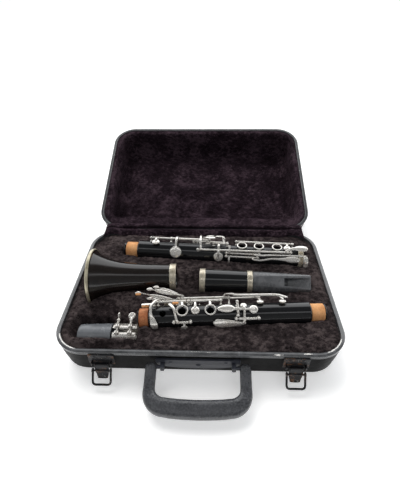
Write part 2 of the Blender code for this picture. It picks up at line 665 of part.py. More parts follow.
parts += [chimney(52.5, 0, UPPER_R, 5.0, 15.4), chimney(85.0, 0, UPPER_R, 4.6, 15.4), chimney(85.0, 180, UPPER_R, 4.6, 15.6)]
body = union(parts)
body = cut(body, [hole(29.9, -6, 3.8), hole(52.5, 0, 3.9), hole(85.0, 0, 3.6), hole(85.0, 180, 3.4)])
add("upper_joint_body", body, EBONITE, upper)
add("upper_lower_tenon_cork", lathe([(1.7, 9.7), (1.7, 11.1), (12.5, 11.1), (12.5, 9.7)], 18), CORK, upper)
add("upper_top_tenon_cork", lathe([(UPPER_L - 19.3, 9.5), (UPPER_L - 19.3, 11.0), (UPPER_L - 3.7, 11.0), (UPPER_L - 3.7, 9.5)], 18), CORK, upper)

KEYS = {}


def key(name, section, parts, pivot, axis, press, mat=None):
    """A key with its origin on its hinge. press is the angle in degrees that a finger turns it through."""
    add(name, union(parts), mat or NICKEL, section, pivot)
    KEYS[name] = (section.name, tuple(pivot), tuple(axis), press)


# Ring key for the lower hand-hole with the bridge arm over the tenon.
key(
    "upper_ring_key_lower",
    upper,
    [
        rod(21.9, 57.4, RT, RR),
        ring_key(52.5, 0, 17.7, 7.1, 4.9),
        ribbon([(52.5, 18, 18.0, 3.0, 1.3), (52.5, 36, 19.0, 2.6, 1.3), (52.5, RT, RR, 2.6, 1.3)]),
        ribbon([(23.6, RT, RR, 2.4, 1.3), (21.8, 40, 19.4, 2.6, 1.3), (17.0, 31, 19.2, 3.2, 1.3), (-4.0, 31, 18.6, 3.6, 1.3)]),
    ],
    polar(40, RT, RR),
    (1, 0, 0),
    4,
)
key(
    "upper_ring_key_middle",
    upper,
    [
        rod(62.2, 95.6, RT, RR),
        ring_key(85.0, 0, 17.7, 6.8, 4.6),
        ribbon([(85.0, 17.5, 18.0, 3.0, 1.3), (85.0, 36, 19.0, 2.6, 1.3), (85.0, RT, RR, 2.6, 1.3)]),
        cup(67.6, 0, 17.6, 4.9),
        ribbon([(67.6, 8, 18.8, 3.0, 1.2), (67.6, 30, 19.6, 2.2, 1.2), (67.6, RT, RR, 2.4, 1.2)]),
    ],
    polar(78, RT, RR),
    (1, 0, 0),
    4,
)
key(
    "c_sharp_lever",
    upper,
    [
        rod(26.0, 36.2, 72, 18.0),
        cup(33.5, 92, 17.2, 3.4, 2.2),
        ribbon([(33.0, 72, 18.4, 2.4, 1.2), (33.4, 82, 18.7, 2.4, 1.2), (33.5, 91, 18.2, 2.4, 1.2)]),
        ribbon([(27.5, 72, 18.3, 2.6, 1.3), (26.5, 62, 21.6, 2.6, 1.3), (22.0, 40, 22.3, 2.6, 1.3), (17.0, 14, 20.8, 2.8, 1.3), (17.2, -14, 19.6, 3.4, 1.3), (19.2, -34, 19.6, 6.6, 1.4), (20.6, -52, 19.2, 8.4, 1.4), (21.4, -66, 18.0, 6.0, 1.2)]),
    ],
    polar(30, 72, 18.0),
    (1, 0, 0),
    3,
)
key(
    "sliver_key",
    upper,
    [
        rod(45.4, 59.5, -46, 17.0),
        ribbon([(47.6, -46, 17.2, 3.6, 1.6), (45.6, -30, 18.4, 2.6, 1.3), (44.0, -8, 18.6, 2.6, 1.3), (42.2, 10, 18.6, 3.0, 1.3), (38.4, 27, 18.6, 3.8, 1.3), (37.2, 31, 18.4, 2.6, 1.3)]),
        cup(54.6, -74, 17.2, 4.2, 2.2),
        ribbon([(54.6, -46, 17.2, 2.6, 1.3), (54.6, -60, 18.4, 2.6, 1.3), (54.6, -73, 18.0, 2.6, 1.3)]),
    ],
    polar(52, -46, 17.0),
    (1, 0, 0),
    -4,
)
key(
    "throat_a_key",
    upper,
    [
        cylinder((116.5, -5.9, 17.2), (116.5, 7.9, 17.2), 1.4, 8),
        touch(polar(102.7, 0, 19.8), (1, 0, 0.02), (0, 0, 1), 9.8, 4.7, 1.8),
        ribbon([(108.0, 0, 19.2, 3.4, 1.4), (116.5, 0, 17.9, 3.0, 1.5), (124.0, -1, 17.4, 2.4, 1.3), (133.0, -2, 18.0, 2.4, 1.3)]),
        cup(134.6, -2, 17.2, 5.0),
    ],
    (116.5, 0.0, 17.2),
    (0, 1, 0),
    -5,
)
key(
    "throat_g_sharp_key",
    upper,
    [
        rod(117.0, 137.6, -38, 17.4),
        cup(123.5, 17, 16.9, 3.8, 2.2),
        ribbon([(123.5, 14, 18.2, 2.4, 1.2), (123.5, 6, 20.4, 2.4, 1.2), (123.5, -12, 21.0, 2.4, 1.2), (123.5, -30, 18.9, 2.6, 1.3), (123.5, -44, 18.2, 2.8, 1.4), (122.0, -56, 18.0, 3.6, 1.4)]),
        ribbon([(124.6, -54, 17.9, 3.0, 1.4), (118.0, -55, 18.0, 5.0, 1.6), (108.0, -54, 18.2, 8.4, 1.8), (98.0, -52, 18.2, 10.4, 1.8), (91.0, -50, 18.0, 8.0, 1.6), (88.6, -49, 17.8, 4.0, 1.2)]),
    ],
    polar(127, -38, 17.4),
    (1, 0, 0),
    5,
)
key(
    "trill_key_upper",
    upper,
    [
        rod(50.4, 105.6, 66, 21.6, 1.2),
        ribbon([(54.0, 66, 21.8, 2.6, 1.4), (52.4, 66, 25.2, 2.8, 1.4), (40.0, 66, 27.0, 2.8, 1.4), (28.0, 66, 30.0, 3.4, 1.4), (16.0, 66, 33.2, 4.6, 1.6), (10.5, 66, 33.6, 3.4, 1.3)]),
        ribbon([(102.0, 66, 21.8, 2.6, 1.4), (103.6, 65, 25.2, 3.0, 1.4), (112.0, 63, 25.2, 4.6, 1.4), (119.0, 62, 23.4, 5.4, 1.4), (160.0, 62, 22.4, 5.6, 1.4), (171.0, 56, 21.6, 5.0, 1.4), (176.0, 40, 19.4, 4.0, 1.4)]),
        cup(170.3, 40, 17.1, 4.3, 2.4),
        ribbon([(168.0, 56, 21.4, 3.0, 1.4), (170.0, 46, 19.6, 3.0, 1.4), (170.3, 39, 18.2, 3.0, 1.3)]),
    ],
    polar(80, 66, 21.6),
    (1, 0, 0),
    -3,
)
key(
    "trill_key_lower",
    upper,
    [
        rod(48.4, 142.2, 82, 21.2, 1.2),
        ribbon([(52.6, 82, 21.4, 2.6, 1.4), (50.6, 79, 25.2, 2.8, 1.4), (43.0, 76, 27.2, 2.8, 1.4), (34.0, 72, 31.5, 3.2, 1.4), (24.0, 72, 35.5, 4.6, 1.6), (18.5, 72, 36.2, 3.2, 1.3)]),
        cup(144.0, 42, 17.1, 4.3, 2.4),
        ribbon([(139.0, 82, 21.4, 2.6, 1.4), (140.0, 66, 20.4, 2.6, 1.3), (143.5, 52, 19.0, 2.8, 1.3), (144.0, 44, 18.4, 2.8, 1.3)]),
    ],
    polar(95, 82, 21.2),
    (1, 0, 0),
    -3,
)
key(
    "side_key_b_flat",
    upper,
    [
        rod(43.2, 60.4, 96, 18.4, 1.2),
        ribbon([(46.0, 96, 18.6, 2.6, 1.4), (44.0, 93, 22.0, 2.8, 1.4), (36.0, 90, 23.4, 2.8, 1.4), (26.0, 86, 25.0, 3.0, 1.4), (14.0, 80, 27.2, 3.2, 1.4), (3.0, 76, 29.6, 4.6, 1.6), (-3.0, 74, 29.9, 3.2, 1.3)]),
        cup(54.0, 74, 16.9, 3.4, 1.8),
        ribbon([(54.0, 96, 18.4, 2.6, 1.4), (54.0, 86, 18.3, 2.6, 1.0), (54.0, 75, 17.6, 2.6, 1.0)]),
    ],
    polar(52, 96, 18.4),
    (1, 0, 0),
    -4,
)
key(
    "side_key_f_sharp",
    upper,
    [
        rod(33.0, 70.6, 112, 18.4, 1.2),
        ribbon([(36.5, 112, 18.6, 2.6, 1.4), (34.0, 110, 22.2, 2.8, 1.4), (22.0, 104, 25.6, 3.2, 1.4), (14.0, 99, 27.2, 4.2, 1.6), (8.5, 98, 27.2, 3.0, 1.3)]),
        cup(67.2, 134, 17.0, 3.6, 2.2),
        ribbon([(67.2, 112, 18.6, 2.6, 1.4), (67.2, 122, 19.0, 2.6, 1.3), (67.2, 133, 18.1, 2.6, 1.3)]),
    ],
    polar(50, 112, 18.4),
    (1, 0, 0),
    4,
)
key(
    "thumb_ring_key",
    upper,
    [
        rod(76.4, 96.6, 150, 18.4),
        ring_key(85.0, 180, 17.7, 6.6, 4.6),
        ribbon([(85.0, 161, 18.2, 2.8, 1.3), (85.0, 150, RR, 2.6, 1.3)]),
    ],
    polar(86, 150, 18.4),
    (1, 0, 0),
    -5,
)
key(
    "register_key",
    upper,
    [
        cylinder((140.0, -4.4, -17.2), (140.0, 4.4, -17.2), 1.4, 8),
        ribbon([(94.5, 180, 20.4, 6.0, 1.4), (99.5, 180, 20.4, 8.0, 1.5), (106.0, 180, 19.8, 5.0, 1.4), (116.0, 180, 18.4, 3.2, 1.4), (140.0, 180, 17.6, 3.2, 1.6), (170.0, 180, 17.8, 2.6, 1.4), (188.0, 180, 18.2, 2.6, 1.4)]),
        cup(188.0, 180, 17.0, 3.6, 2.2),
    ],
    (140.0, 0.0, -17.2),
    (0, 1, 0),
    4,
)

# ---- lower joint ----
LB = tube_body(LOWER_L, LOWER_R, LOWER_R + 0.2, (20.4, 3.0, 19.6), ("socket", 6.4, 18.0))
LPOSTS = [
    (38.0, 24, 19.4), (117.4, 24, 19.4),
    (66.0, 42, 19.4), (120.6, 42, 19.4),
    (159.0, 32, 19.0), (236.4, 32, 19.0),
    (106.4, -34, 18.4), (232.8, -28, 18.4),
    (127.4, 8, 17.4), (146.4, 8, 17.4),
    (146.0, -43, 17.6), (190.6, -43, 17.6),
    (146.0, -58, 17.6), (188.6, -58, 17.6),
    (98.0, 66, 18.4), (146.0, 66, 18.4),
]
parts = [LB]
for s, th, r in LPOSTS:
    parts += post(s, th, r, LOWER_R)
parts += [chimney(s, 0, LOWER_R, 5.4, 15.4) for s in (166.8, 190.0, 214.8)]
body = union(parts)
body = cut(body, [hole(s, 0, 4.1) for s in (166.8, 190.0, 214.8)])
add("lower_joint_body", body, EBONITE, lower)
add("lower_tenon_cork", lathe([(3.3, 9.7), (3.3, 11.3), (19.3, 11.3), (19.3, 9.7)], 18), CORK, lower)
LR = LOWER_R + 0.4 + GAP
add("lower_socket_ring", lathe([(LOWER_L - 6.4, LR), (LOWER_L - 6.4, LR + 1.9), (LOWER_L, LR + 1.9), (LOWER_L, LR)], 20), RINGMAT, lower)

rings = []
for s in (166.8, 190.0, 214.8):
    rings += [ring_key(s, 0, 17.7, 7.0, 4.9), ribbon([(s, 18, 18.0, 3.0, 1.3), (s, 32, 19.0, 2.8, 1.3)])]
key(
    "right_hand_ring_key",
    lower,
    [rod(161.4, 234.0, 32, 19.0)] + rings + [cup(228.4, -2, 17.6, 4.8), ribbon([(228.4, 6, 18.8, 2.8, 1.2), (228.4, 18, 19.3, 2.6, 1.2), (228.4, 32, 19.0, 2.6, 1.2)])],
    polar(200, 32, 19.0),
    (1, 0, 0),
    5,
)
key(
    "low_e_key",
    lower,
    [
        rod(40.4, 115.0, 24, 19.4),
        cup(46.0, -8, 18.0, 6.6),
        ribbon([(46.0, 4, 19.4, 3.2, 1.3), (46.0, 14, 20.2, 2.8, 1.3), (46.0, 24, 19.4, 2.8, 1.3)]),
        ribbon([(111.0, 24, 19.8, 2.8, 1.4), (113.0, 23, 23.4, 3.0, 1.4), (119.5, 14, 25.2, 6.0, 1.6), (127.0, 12, 25.4, 6.0, 1.6)]),
    ],
    polar(80, 24, 19.4),
    (1, 0, 0),
    4,
)
key(
    "low_f_key",
    lower,
    [
        rod(68.4, 118.2, 42, 19.4),
        cup(75.6, -50, 17.7, 8.0),
        ribbon([(75.6, 42, 19.8, 3.0, 1.4), (75.6, 30, 22.4, 3.0, 1.3), (75.6, 8, 22.8, 3.0, 1.3), (75.6, -20, 20.4, 3.0, 1.3), (75.6, -44, 19.2, 3.2, 1.3)]),
        ribbon([(114.6, 42, 19.8, 2.8, 1.4), (116.4, 40, 23.6, 3.0, 1.4), (121.5, 32, 25.2, 6.0, 1.6), (128.0, 31, 25.4, 6.0, 1.6)]),
    ],
    polar(95, 42, 19.4),
    (1, 0, 0),
    4,
)
key(
    "f_sharp_key",
    lower,
    [
        rod(129.8, 144.0, 8, 17.4),
        cup(135.0, -62, 17.4, 6.4),
        ribbon([(135.0, 8, 17.8, 3.0, 1.4), (135.0, -4, 19.8, 3.0, 1.3), (135.0, -20, 21.8, 3.0, 1.3), (135.0, -44, 21.2, 3.0, 1.3), (135.0, -60, 18.8, 3.2, 1.3)]),
        ribbon([(141.4, 8, 17.8, 2.8, 1.4), (141.4, 16, 21.4, 3.2, 1.4), (140.4, 23, 24.6, 4.6, 1.5), (136.0, 27, 25.6, 6.0, 1.6), (130.0, 27, 25.6, 6.0, 1.6)]),
    ],
    polar(137, 8, 17.4),
    (1, 0, 0),
    -4,
)
key(
    "a_flat_key",
    lower,
    [
        rod(100.4, 143.6, 66, 18.4),
        cup(104.4, 94, 17.6, 6.0),
        ribbon([(104.4, 66, 18.8, 2.8, 1.3), (104.4, 78, 19.8, 2.8, 1.3), (104.4, 92, 19.0, 2.8, 1.3)]),
        ribbon([(140.0, 66, 18.8, 2.8, 1.4), (140.4, 58, 22.4, 3.2, 1.4), (140.0, 50, 24.8, 4.6, 1.5), (137.0, 46, 25.5, 6.0, 1.6), (131.0, 46, 25.6, 6.0, 1.6)]),
    ],
    polar(122, 66, 18.4),
    (1, 0, 0),
    4,
)
a, b = polar(109.0, -34.0, 18.4), polar(230.0, -28.0, 18.4)
key(
    "left_e_lever",
    lower,
    [
        cylinder(a, b, 1.4, 8),
        ribbon([(110.4, -33.6, 18.6, 2.6, 1.4), (110.0, -14, 20.8, 2.6, 1.3), (109.2, 6, 22.8, 2.4, 1.3), (109.0, 22, 24.4, 2.4, 1.3), (109.0, 33, 25.4, 2.2, 1.3)]),
        ribbon([(225.0, -28, 18.7, 2.6, 1.4), (227.4, -25, 22.0, 2.8, 1.4), (233.4, -19, 22.6, 4.0, 1.5), (238.0, -16, 22.6, 6.6, 1.6), (247.0, -15, 22.4, 8.6, 1.8), (254.0, -15, 22.2, 6.0, 1.5)]),
    ],
    (a + b) / 2,
    tuple((b - a).normalized()),
    -4,
)
key(
    "left_f_sharp_lever",
    lower,
    [
        rod(148.4, 188.2, -43, 17.6, 1.2),
        ribbon([(183.6, -43, 17.8, 2.4, 1.3), (185.6, -46, 21.2, 2.4, 1.2), (195.0, -47, 21.2, 2.4, 1.2), (200.0, -45, 19.4, 2.2, 1.2), (214.0, -42, 17.4, 2.2, 1.2), (246.0, -40, 17.4, 2.4, 1.2), (251.6, -45, 20.6, 5.0, 1.4), (252.6, -62, 20.9, 6.4, 1.5), (252.8, -84, 20.6, 5.4, 1.3)]),
        ribbon([(149.8, -44, 17.8, 2.4, 1.3), (149.8, -41, 20.9, 2.4, 1.2), (149.8, -31, 22.2, 2.4, 1.2), (149.8, -17, 22.0, 2.4, 1.2)]),
    ],
    polar(168, -43, 17.6),
    (1, 0, 0),
    4,
)
key(
    "left_f_lever",
    lower,
    [
        rod(148.4, 186.2, -58, 17.6, 1.2),
        ribbon([(181.6, -58, 17.8, 2.4, 1.3), (183.4, -63, 21.4, 2.4, 1.3), (193.0, -65, 21.6, 2.4, 1.3), (206.0, -58, 20.8, 2.6, 1.3), (218.0, -57, 20.8, 3.2, 1.3), (226.0, -57, 21.2, 7.2, 1.6), (236.0, -57, 21.4, 9.0, 1.7), (244.6, -56, 21.2, 6.0, 1.4)]),
        ribbon([(149.8, -58, 17.8, 2.4, 1.3), (149.8, -72, 19.2, 2.4, 1.2), (149.8, -86, 18.6, 2.4, 1.2)]),
    ],
    polar(168, -58, 17.6),
    (1, 0, 0),
    4,
)
rest = union([
    block((100.0, -4.4, -16.8), (119.0, 4.4, -14.35)),
    block((103.0, -4.2, -25.0), (105.2, 4.2, -15.6)),
    block((103.0, -4.2, -25.0), (110.0, 4.2, -23.2)),
])
add("thumb_rest", rest, NICKEL, lower)

bpy.context.view_layer.update()
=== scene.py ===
"""The looks of a B-flat clarinet lying taken apart in its open fitted case.

Everything is built in the CAD frame: metres once placed, millimetres while a
piece is drawn.  A section's own frame has x along the bore, z on the
finger-hole side and y on the player's right.
"""

import json
import math

import bpy
import bmesh
import numpy as np
from mathutils import Matrix, Vector, noise
from mathutils.bvhtree import BVHTree


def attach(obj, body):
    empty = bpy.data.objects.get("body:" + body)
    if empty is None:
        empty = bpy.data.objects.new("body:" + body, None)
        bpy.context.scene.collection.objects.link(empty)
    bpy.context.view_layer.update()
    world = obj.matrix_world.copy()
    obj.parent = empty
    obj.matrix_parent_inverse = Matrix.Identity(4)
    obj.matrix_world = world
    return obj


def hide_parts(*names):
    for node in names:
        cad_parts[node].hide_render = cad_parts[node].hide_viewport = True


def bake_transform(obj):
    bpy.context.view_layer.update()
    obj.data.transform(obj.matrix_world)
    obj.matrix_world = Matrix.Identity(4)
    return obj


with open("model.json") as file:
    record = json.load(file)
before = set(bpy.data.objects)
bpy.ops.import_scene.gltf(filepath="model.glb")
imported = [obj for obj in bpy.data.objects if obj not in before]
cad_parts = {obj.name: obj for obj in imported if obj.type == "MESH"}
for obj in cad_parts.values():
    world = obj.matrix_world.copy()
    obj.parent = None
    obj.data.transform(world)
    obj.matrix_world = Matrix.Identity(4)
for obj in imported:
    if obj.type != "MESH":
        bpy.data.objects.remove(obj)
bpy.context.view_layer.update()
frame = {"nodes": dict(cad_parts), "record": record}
NODES, RECORD = frame["nodes"], frame["record"]
MM = 0.001
COL = bpy.context.scene.collection

# Sizes shared with the CAD, mm.
CASE_L, CASE_D, CASE_R = 325.0, 218.0, 35.0
BASE_H, LID_H, WALL = 44.0, 49.5, 2.5
RIM_H, RIM_PROUD, RIM_T = 6.0, 0.9, 4.0
GAP = 0.3
LID_OPEN = 160.0
PIVOT = Vector((0.0, CASE_D / 2 + 3.6, BASE_H))
LATCH_X = 105.5
HANDLE_HALF, HANDLE_REACH, HANDLE_Z = 51.0, 40.5, 27.5
BORE_R = 7.4
UPPER_L, UPPER_R = 221.0, 13.9
LOWER_L, LOWER_R = 250.0, 14.1
BELL_L = 108.0
BARREL_L = 67.0
MOUTH_L, MOUTH_TENON = 73.0, 15.0
CAP_L, CAP_R = 40.0, 15.2
LIG_L, LIG_R = 27.0, 14.9


# ------------------------------------------------------------------ geometry
class Geo:
    """Vertices and faces of one piece, with a material number for each face."""

    def __init__(self):
        self.v, self.f, self.m = [], [], []

    def add(self, verts, faces, mat=0):
        base = len(self.v)
        self.v += [Vector(p) for p in verts]
        self.f += [tuple(base + i for i in face) for face in faces]
        self.m += [mat] * len(faces)
        return self

    def join(self, other, mat=None):
        base = len(self.v)
        self.v += other.v
        self.f += [tuple(base + i for i in face) for face in other.f]
        self.m += other.m if mat is None else [mat] * len(other.f)
        return self

    def moved(self, matrix):
        self.v = [matrix @ p for p in self.v]
        return self

    def mesh(self, name, mats=(), smooth=38.0, fix=True):
        mesh = bpy.data.meshes.new(name)
        mesh.from_pydata([tuple(p) for p in self.v], [], self.f)
        for mat in mats:
            mesh.materials.append(mat)
        if len(mats) > 1:
            mesh.polygons.foreach_set("material_index", self.m)
        if fix:
            bm = bmesh.new()
            bm.from_mesh(mesh)
            bmesh.ops.recalc_face_normals(bm, faces=bm.faces)
            bm.to_mesh(mesh)
            bm.free()
        mesh.shade_smooth()
        if smooth:
            mesh.set_sharp_from_angle(angle=math.radians(smooth))
        mesh.update()
        return mesh


def loft(loops, ring=False, caps=True, mat=0, wrap=True):
    n = len(loops[0])
    verts = [p for loop in loops for p in loop]
    faces = []
    count = len(loops)
    for i in range(count if ring else count - 1):
        a, b = i * n, ((i + 1) % count) * n
        for k in range(n if wrap else n - 1):
            j = (k + 1) % n
            faces.append((a + k, a + j, b + j, b + k))
    if caps and not ring:
        faces.append(tuple(range(n)))
        faces.append(tuple((count - 1) * n + k for k in range(n)))
    return Geo().add(verts, faces, mat)


def lathe(profile, n=64, closed=True, mat=0, arc=None):
    """Turns (x, r) round the x axis; arc gives a part turn as (start, end) degrees from z."""
    verts, index = [], []
    for x, r in profile:
        if r < 1e-6 and arc is None:
            index.append([len(verts)] * n)
            verts.append((x, 0.0, 0.0))
        else:
            row = []
            for k in range(n):
                a = 2 * math.pi * k / n if arc is None else math.radians(arc[0] + (arc[1] - arc[0]) * k / (n - 1))
                row.append(len(verts))
                verts.append((x, r * math.sin(a), r * math.cos(a)))
            index.append(row)
    faces = []
    count = len(profile)
    for i in range(count if closed else count - 1):
        p, q = index[i], index[(i + 1) % count]
        for k in range(n if arc is None else n - 1):
            j = (k + 1) % n
            face = []
            for v in (p[k], p[j], q[j], q[k]):
                if v not in face:
                    face.append(v)
            if len(face) > 2:
                faces.append(tuple(face))
    if arc is not None and closed:
        faces.append(tuple(row[0] for row in index))
        faces.append(tuple(row[-1] for row in index))
    return Geo().add(verts, faces, mat)


def basis(direction, hint=(0, 0, 1)):
    d = Vector(direction).normalized()
    side = d.cross(Vector(hint))
    if side.length < 1e-4:
        side = d.cross(Vector((1, 0, 0)))
    side.normalize()
    return d, side, side.cross(d).normalized()


def polar(s, theta, radius):
    a = math.radians(theta)
    return Vector((s, radius * math.sin(a), radius * math.cos(a)))


def turned(p, direction, profile, n=28, closed=False, mat=0):
    """A lathe profile set at p with its x along direction."""
    geo = lathe(profile, n, closed, mat)
    d, u, v = basis(direction)
    return geo.moved(Matrix.Translation(Vector(p)) @ Matrix((d, u, v)).transposed().to_4x4())


def cylinder(p, q, r, n=20, r2=None, mat=0, edge=0.12):
    """A rod with softened ends."""
    p, q = Vector(p), Vector(q)
    length = (q - p).length
    r2 = r if r2 is None else r2
    e = min(edge, length * 0.2)
    return turned(p, q - p, [(0, 0), (0, r - e), (e, r), (length - e, r2), (length, r2 - e), (length, 0)], n, mat=mat)


def ball(c, r, n=18, mat=0, squash=1.0):
    rows = 10
    profile = [(-r * squash, 0.0)] + [(-r * squash * math.cos(math.pi * i / rows), r * math.sin(math.pi * i / rows)) for i in range(1, rows)] + [(r * squash, 0.0)]
    return turned(c, (0, 0, 1), profile, n, mat=mat)


def block(lo, hi, bevel=0.25, mat=0):
    """A box with bevelled upright and level edges."""
    (a, b, c), (d, e, f) = lo, hi
    k = min(bevel, (d - a) * 0.3, (e - b) * 0.3, (f - c) * 0.3)

    def outline(g, z):
        return [(a + g, b, z), (d - g, b, z), (d, b + g, z), (d, e - g, z), (d - g, e, z), (a + g, e, z), (a, e - g, z), (a, b + g, z)]

    def small(z):
        return [(a + 2 * k, b + k, z), (d - 2 * k, b + k, z), (d - k, b + 2 * k, z), (d - k, e - 2 * k, z), (d - 2 * k, e - k, z), (a + 2 * k, e - k, z), (a + k, e - 2 * k, z), (a + k, b + 2 * k, z)]

    return loft([small(c), outline(k, c + k), outline(k, f - k), small(f)], mat=mat)


def spline(points, per=6):
    """Catmull-Rom through rows of numbers."""
    pts = [np.array(p, float) for p in points]
    if len(pts) < 3:
        return [pts[0] + (pts[-1] - pts[0]) * t for t in np.linspace(0, 1, per + 1)]
    ext = [2 * pts[0] - pts[1]] + pts + [2 * pts[-1] - pts[-2]]
    out = []
    for i in range(1, len(ext) - 2):
        p0, p1, p2, p3 = ext[i - 1 : i + 3]
        for k in range(per):
            t = k / per
            out.append(0.5 * (2 * p1 + (p2 - p0) * t + (2 * p0 - 5 * p1 + 4 * p2 - p3) * t * t + (3 * p1 - p0 - 3 * p2 + p3) * t**3))
    out.append(pts[-1])
    return out


def ribbon(stations, mat=0, per=5, n=14):
    """A rounded bar through stations (s, theta, R, width, thickness), smooth along its length, with rounded ends."""
    rows = [np.array([*polar(*st[:3]), st[3], st[4], st[1]]) for st in stations]
    rows = spline(rows, per)
    # Rounded ends: the last stretch pulls in like a fingertip.
    first, last = rows[0], rows[-1]
    a_dir = Vector(rows[0][:3] - rows[1][:3]).normalized()
    b_dir = Vector(rows[-1][:3] - rows[-2][:3]).normalized()

    def ends(row, direction):
        made = []
        half = min(row[3], 3.0) * 0.25
        for k in (0.45, 0.8, 0.97):
            new = row.copy()
            new[:3] = row[:3] + np.array(direction) * half * k
            grow = math.sqrt(max(0.02, 1 - k * k))
            new[3], new[4] = row[3] * grow, row[4] * grow
            made.append(new)
        return made

    rows = ends(first, a_dir)[::-1] + rows + ends(last, b_dir)
    centres = [Vector(r[:3]) for r in rows]
    loops = []
    for i, r in enumerate(rows):
        a = math.radians(r[5])
        radial = Vector((0, math.sin(a), math.cos(a)))
        ahead = centres[min(i + 1, len(rows) - 1)] - centres[max(i - 1, 0)]
        if ahead.length < 1e-9:
            ahead = Vector((1, 0, 0))
        side = ahead.cross(radial)
        if side.length < 1e-9:
            side = Vector((0, 1, 0))
        side.normalize()
        up = side.cross(ahead).normalized()
        w, t = r[3] / 2, r[4] / 2
        loop = []
        for k in range(n):
            q = 2 * math.pi * k / n
            c, s = math.cos(q), math.sin(q)
            e = 0.62
            loop.append(centres[i] + side * w * math.copysign(abs(c) ** e, c) + up * t * math.copysign(abs(s) ** e, s))
        loops.append(loop)
    return loft(loops, mat=mat)


# ------------------------------------------------------------------ materials
class Shader:
    """A thin wrapper over a node tree: makes nodes and joins them."""

    def __init__(self, name, colour=(0.5, 0.5, 0.5), rough=0.5, metal=0.0, **sockets):
        self.mat = bpy.data.materials.new(name)
        self.mat.use_nodes = True
        self.nt = self.mat.node_tree
        self.b = self.nt.nodes["Principled BSDF"]
        self.b.inputs["Base Color"].default_value = (*colour, 1)
        self.b.inputs["Roughness"].default_value = rough
        self.b.inputs["Metallic"].default_value = metal
        for key_, value in sockets.items():
            self.b.inputs[key_.replace("_", " ")].default_value = value
        self.mat.diffuse_color = (*colour, 1)
        self._coord = None

    def node(self, kind, **settings):
        made = self.nt.nodes.new(kind)
        for k, v in settings.items():
            setattr(made, k, v)
        return made

    def link(self, a, b):
        self.nt.links.new(a, b)

    def coord(self):
        if self._coord is None:
            self._coord = self.node("ShaderNodeTexCoord").outputs["Object"]
        return self._coord

    def scaled(self, sx, sy, sz):
        m = self.node("ShaderNodeMapping")
        m.inputs["Scale"].default_value = (sx, sy, sz)
        self.link(self.coord(), m.inputs["Vector"])
        return m.outputs["Vector"]

    def noise(self, scale, detail=4.0, rough=0.6, vector=None, distortion=0.0):
        n = self.node("ShaderNodeTexNoise")
        n.inputs["Scale"].default_value = scale
        n.inputs["Detail"].default_value = detail
        n.inputs["Roughness"].default_value = rough
        n.inputs["Distortion"].default_value = distortion
        self.link(vector or self.coord(), n.inputs["Vector"])
        return n.outputs["Fac"]

    def voronoi(self, scale, vector=None, feature="F1"):
        n = self.node("ShaderNodeTexVoronoi", feature=feature)
        n.inputs["Scale"].default_value = scale
        self.link(vector or self.coord(), n.inputs["Vector"])
        return n.outputs["Distance"]

    def ramp(self, fac, stops):
        n = self.node("ShaderNodeValToRGB")
        while len(n.color_ramp.elements) < len(stops):
            n.color_ramp.elements.new(0.5)
        for element, (at, colour) in zip(n.color_ramp.elements, stops):
            element.position = at
            element.color = (*colour, 1) if hasattr(colour, "__len__") else (colour, colour, colour, 1)
        self.link(fac, n.inputs["Fac"])
        return n.outputs["Color"]

    def mix(self, fac, a, b, blend="MIX"):
        n = self.node("ShaderNodeMix", data_type="RGBA", blend_type=blend)
        for socket, value in ((n.inputs[0], fac), (n.inputs[6], a), (n.inputs[7], b)):
            if isinstance(value, bpy.types.NodeSocket):
                self.link(value, socket)
            elif hasattr(value, "__len__"):
                socket.default_value = (*value, 1)
            else:
                socket.default_value = value
        return n.outputs[2]

    def math(self, op, a, b=0.0, clamp=False):
        n = self.node("ShaderNodeMath", operation=op, use_clamp=clamp)
        for socket, value in ((n.inputs[0], a), (n.inputs[1], b)):
            if isinstance(value, bpy.types.NodeSocket):
                self.link(value, socket)
            else:
                socket.default_value = value
        return n.outputs[0]

    def attribute(self, name):
        return self.node("ShaderNodeAttribute", attribute_name=name).outputs["Fac"]

    def bump(self, height, strength=0.3, distance=0.0004, normal=None):
        n = self.node("ShaderNodeBump")
        n.inputs["Strength"].default_value = strength
        n.inputs["Distance"].default_value = distance
        self.link(height, n.inputs["Height"])
        if normal is not None:
            self.link(normal, n.inputs["Normal"])
        self.link(n.outputs["Normal"], self.b.inputs["Normal"])
        return n.outputs["Normal"]

    def colour(self, out):
        self.link(out, self.b.inputs["Base Color"])
        return self

    def rough(self, out):
        self.link(out, self.b.inputs["Roughness"])
        return self


def grain(sh, scale, depth, extra=None):
    height = sh.noise(scale, 6, 0.65)
    sh.bump(height, 0.5, depth)
    return sh


def make_shell():
    sh = Shader("case_shell_plastic", (0.005, 0.005, 0.0055), 0.55, 0.0, Specular_IOR_Level=0.05)
    cloud = sh.noise(22, 5, 0.6)
    sh.colour(sh.ramp(cloud, [(0.25, (0.0022, 0.0021, 0.0022)), (0.6, (0.0050, 0.0048, 0.0050)), (0.85, (0.0105, 0.0100, 0.0102))]))
    sh.rough(sh.ramp(sh.noise(60, 6, 0.7), [(0.3, 0.32), (0.7, 0.55)]))
    pebble = sh.voronoi(900)
    fine = sh.noise(1800, 3)
    sh.bump(sh.math("ADD", sh.math("MULTIPLY", pebble, 0.6), sh.math("MULTIPLY", fine, 0.5)), 0.35, 0.00025)
    return sh.mat


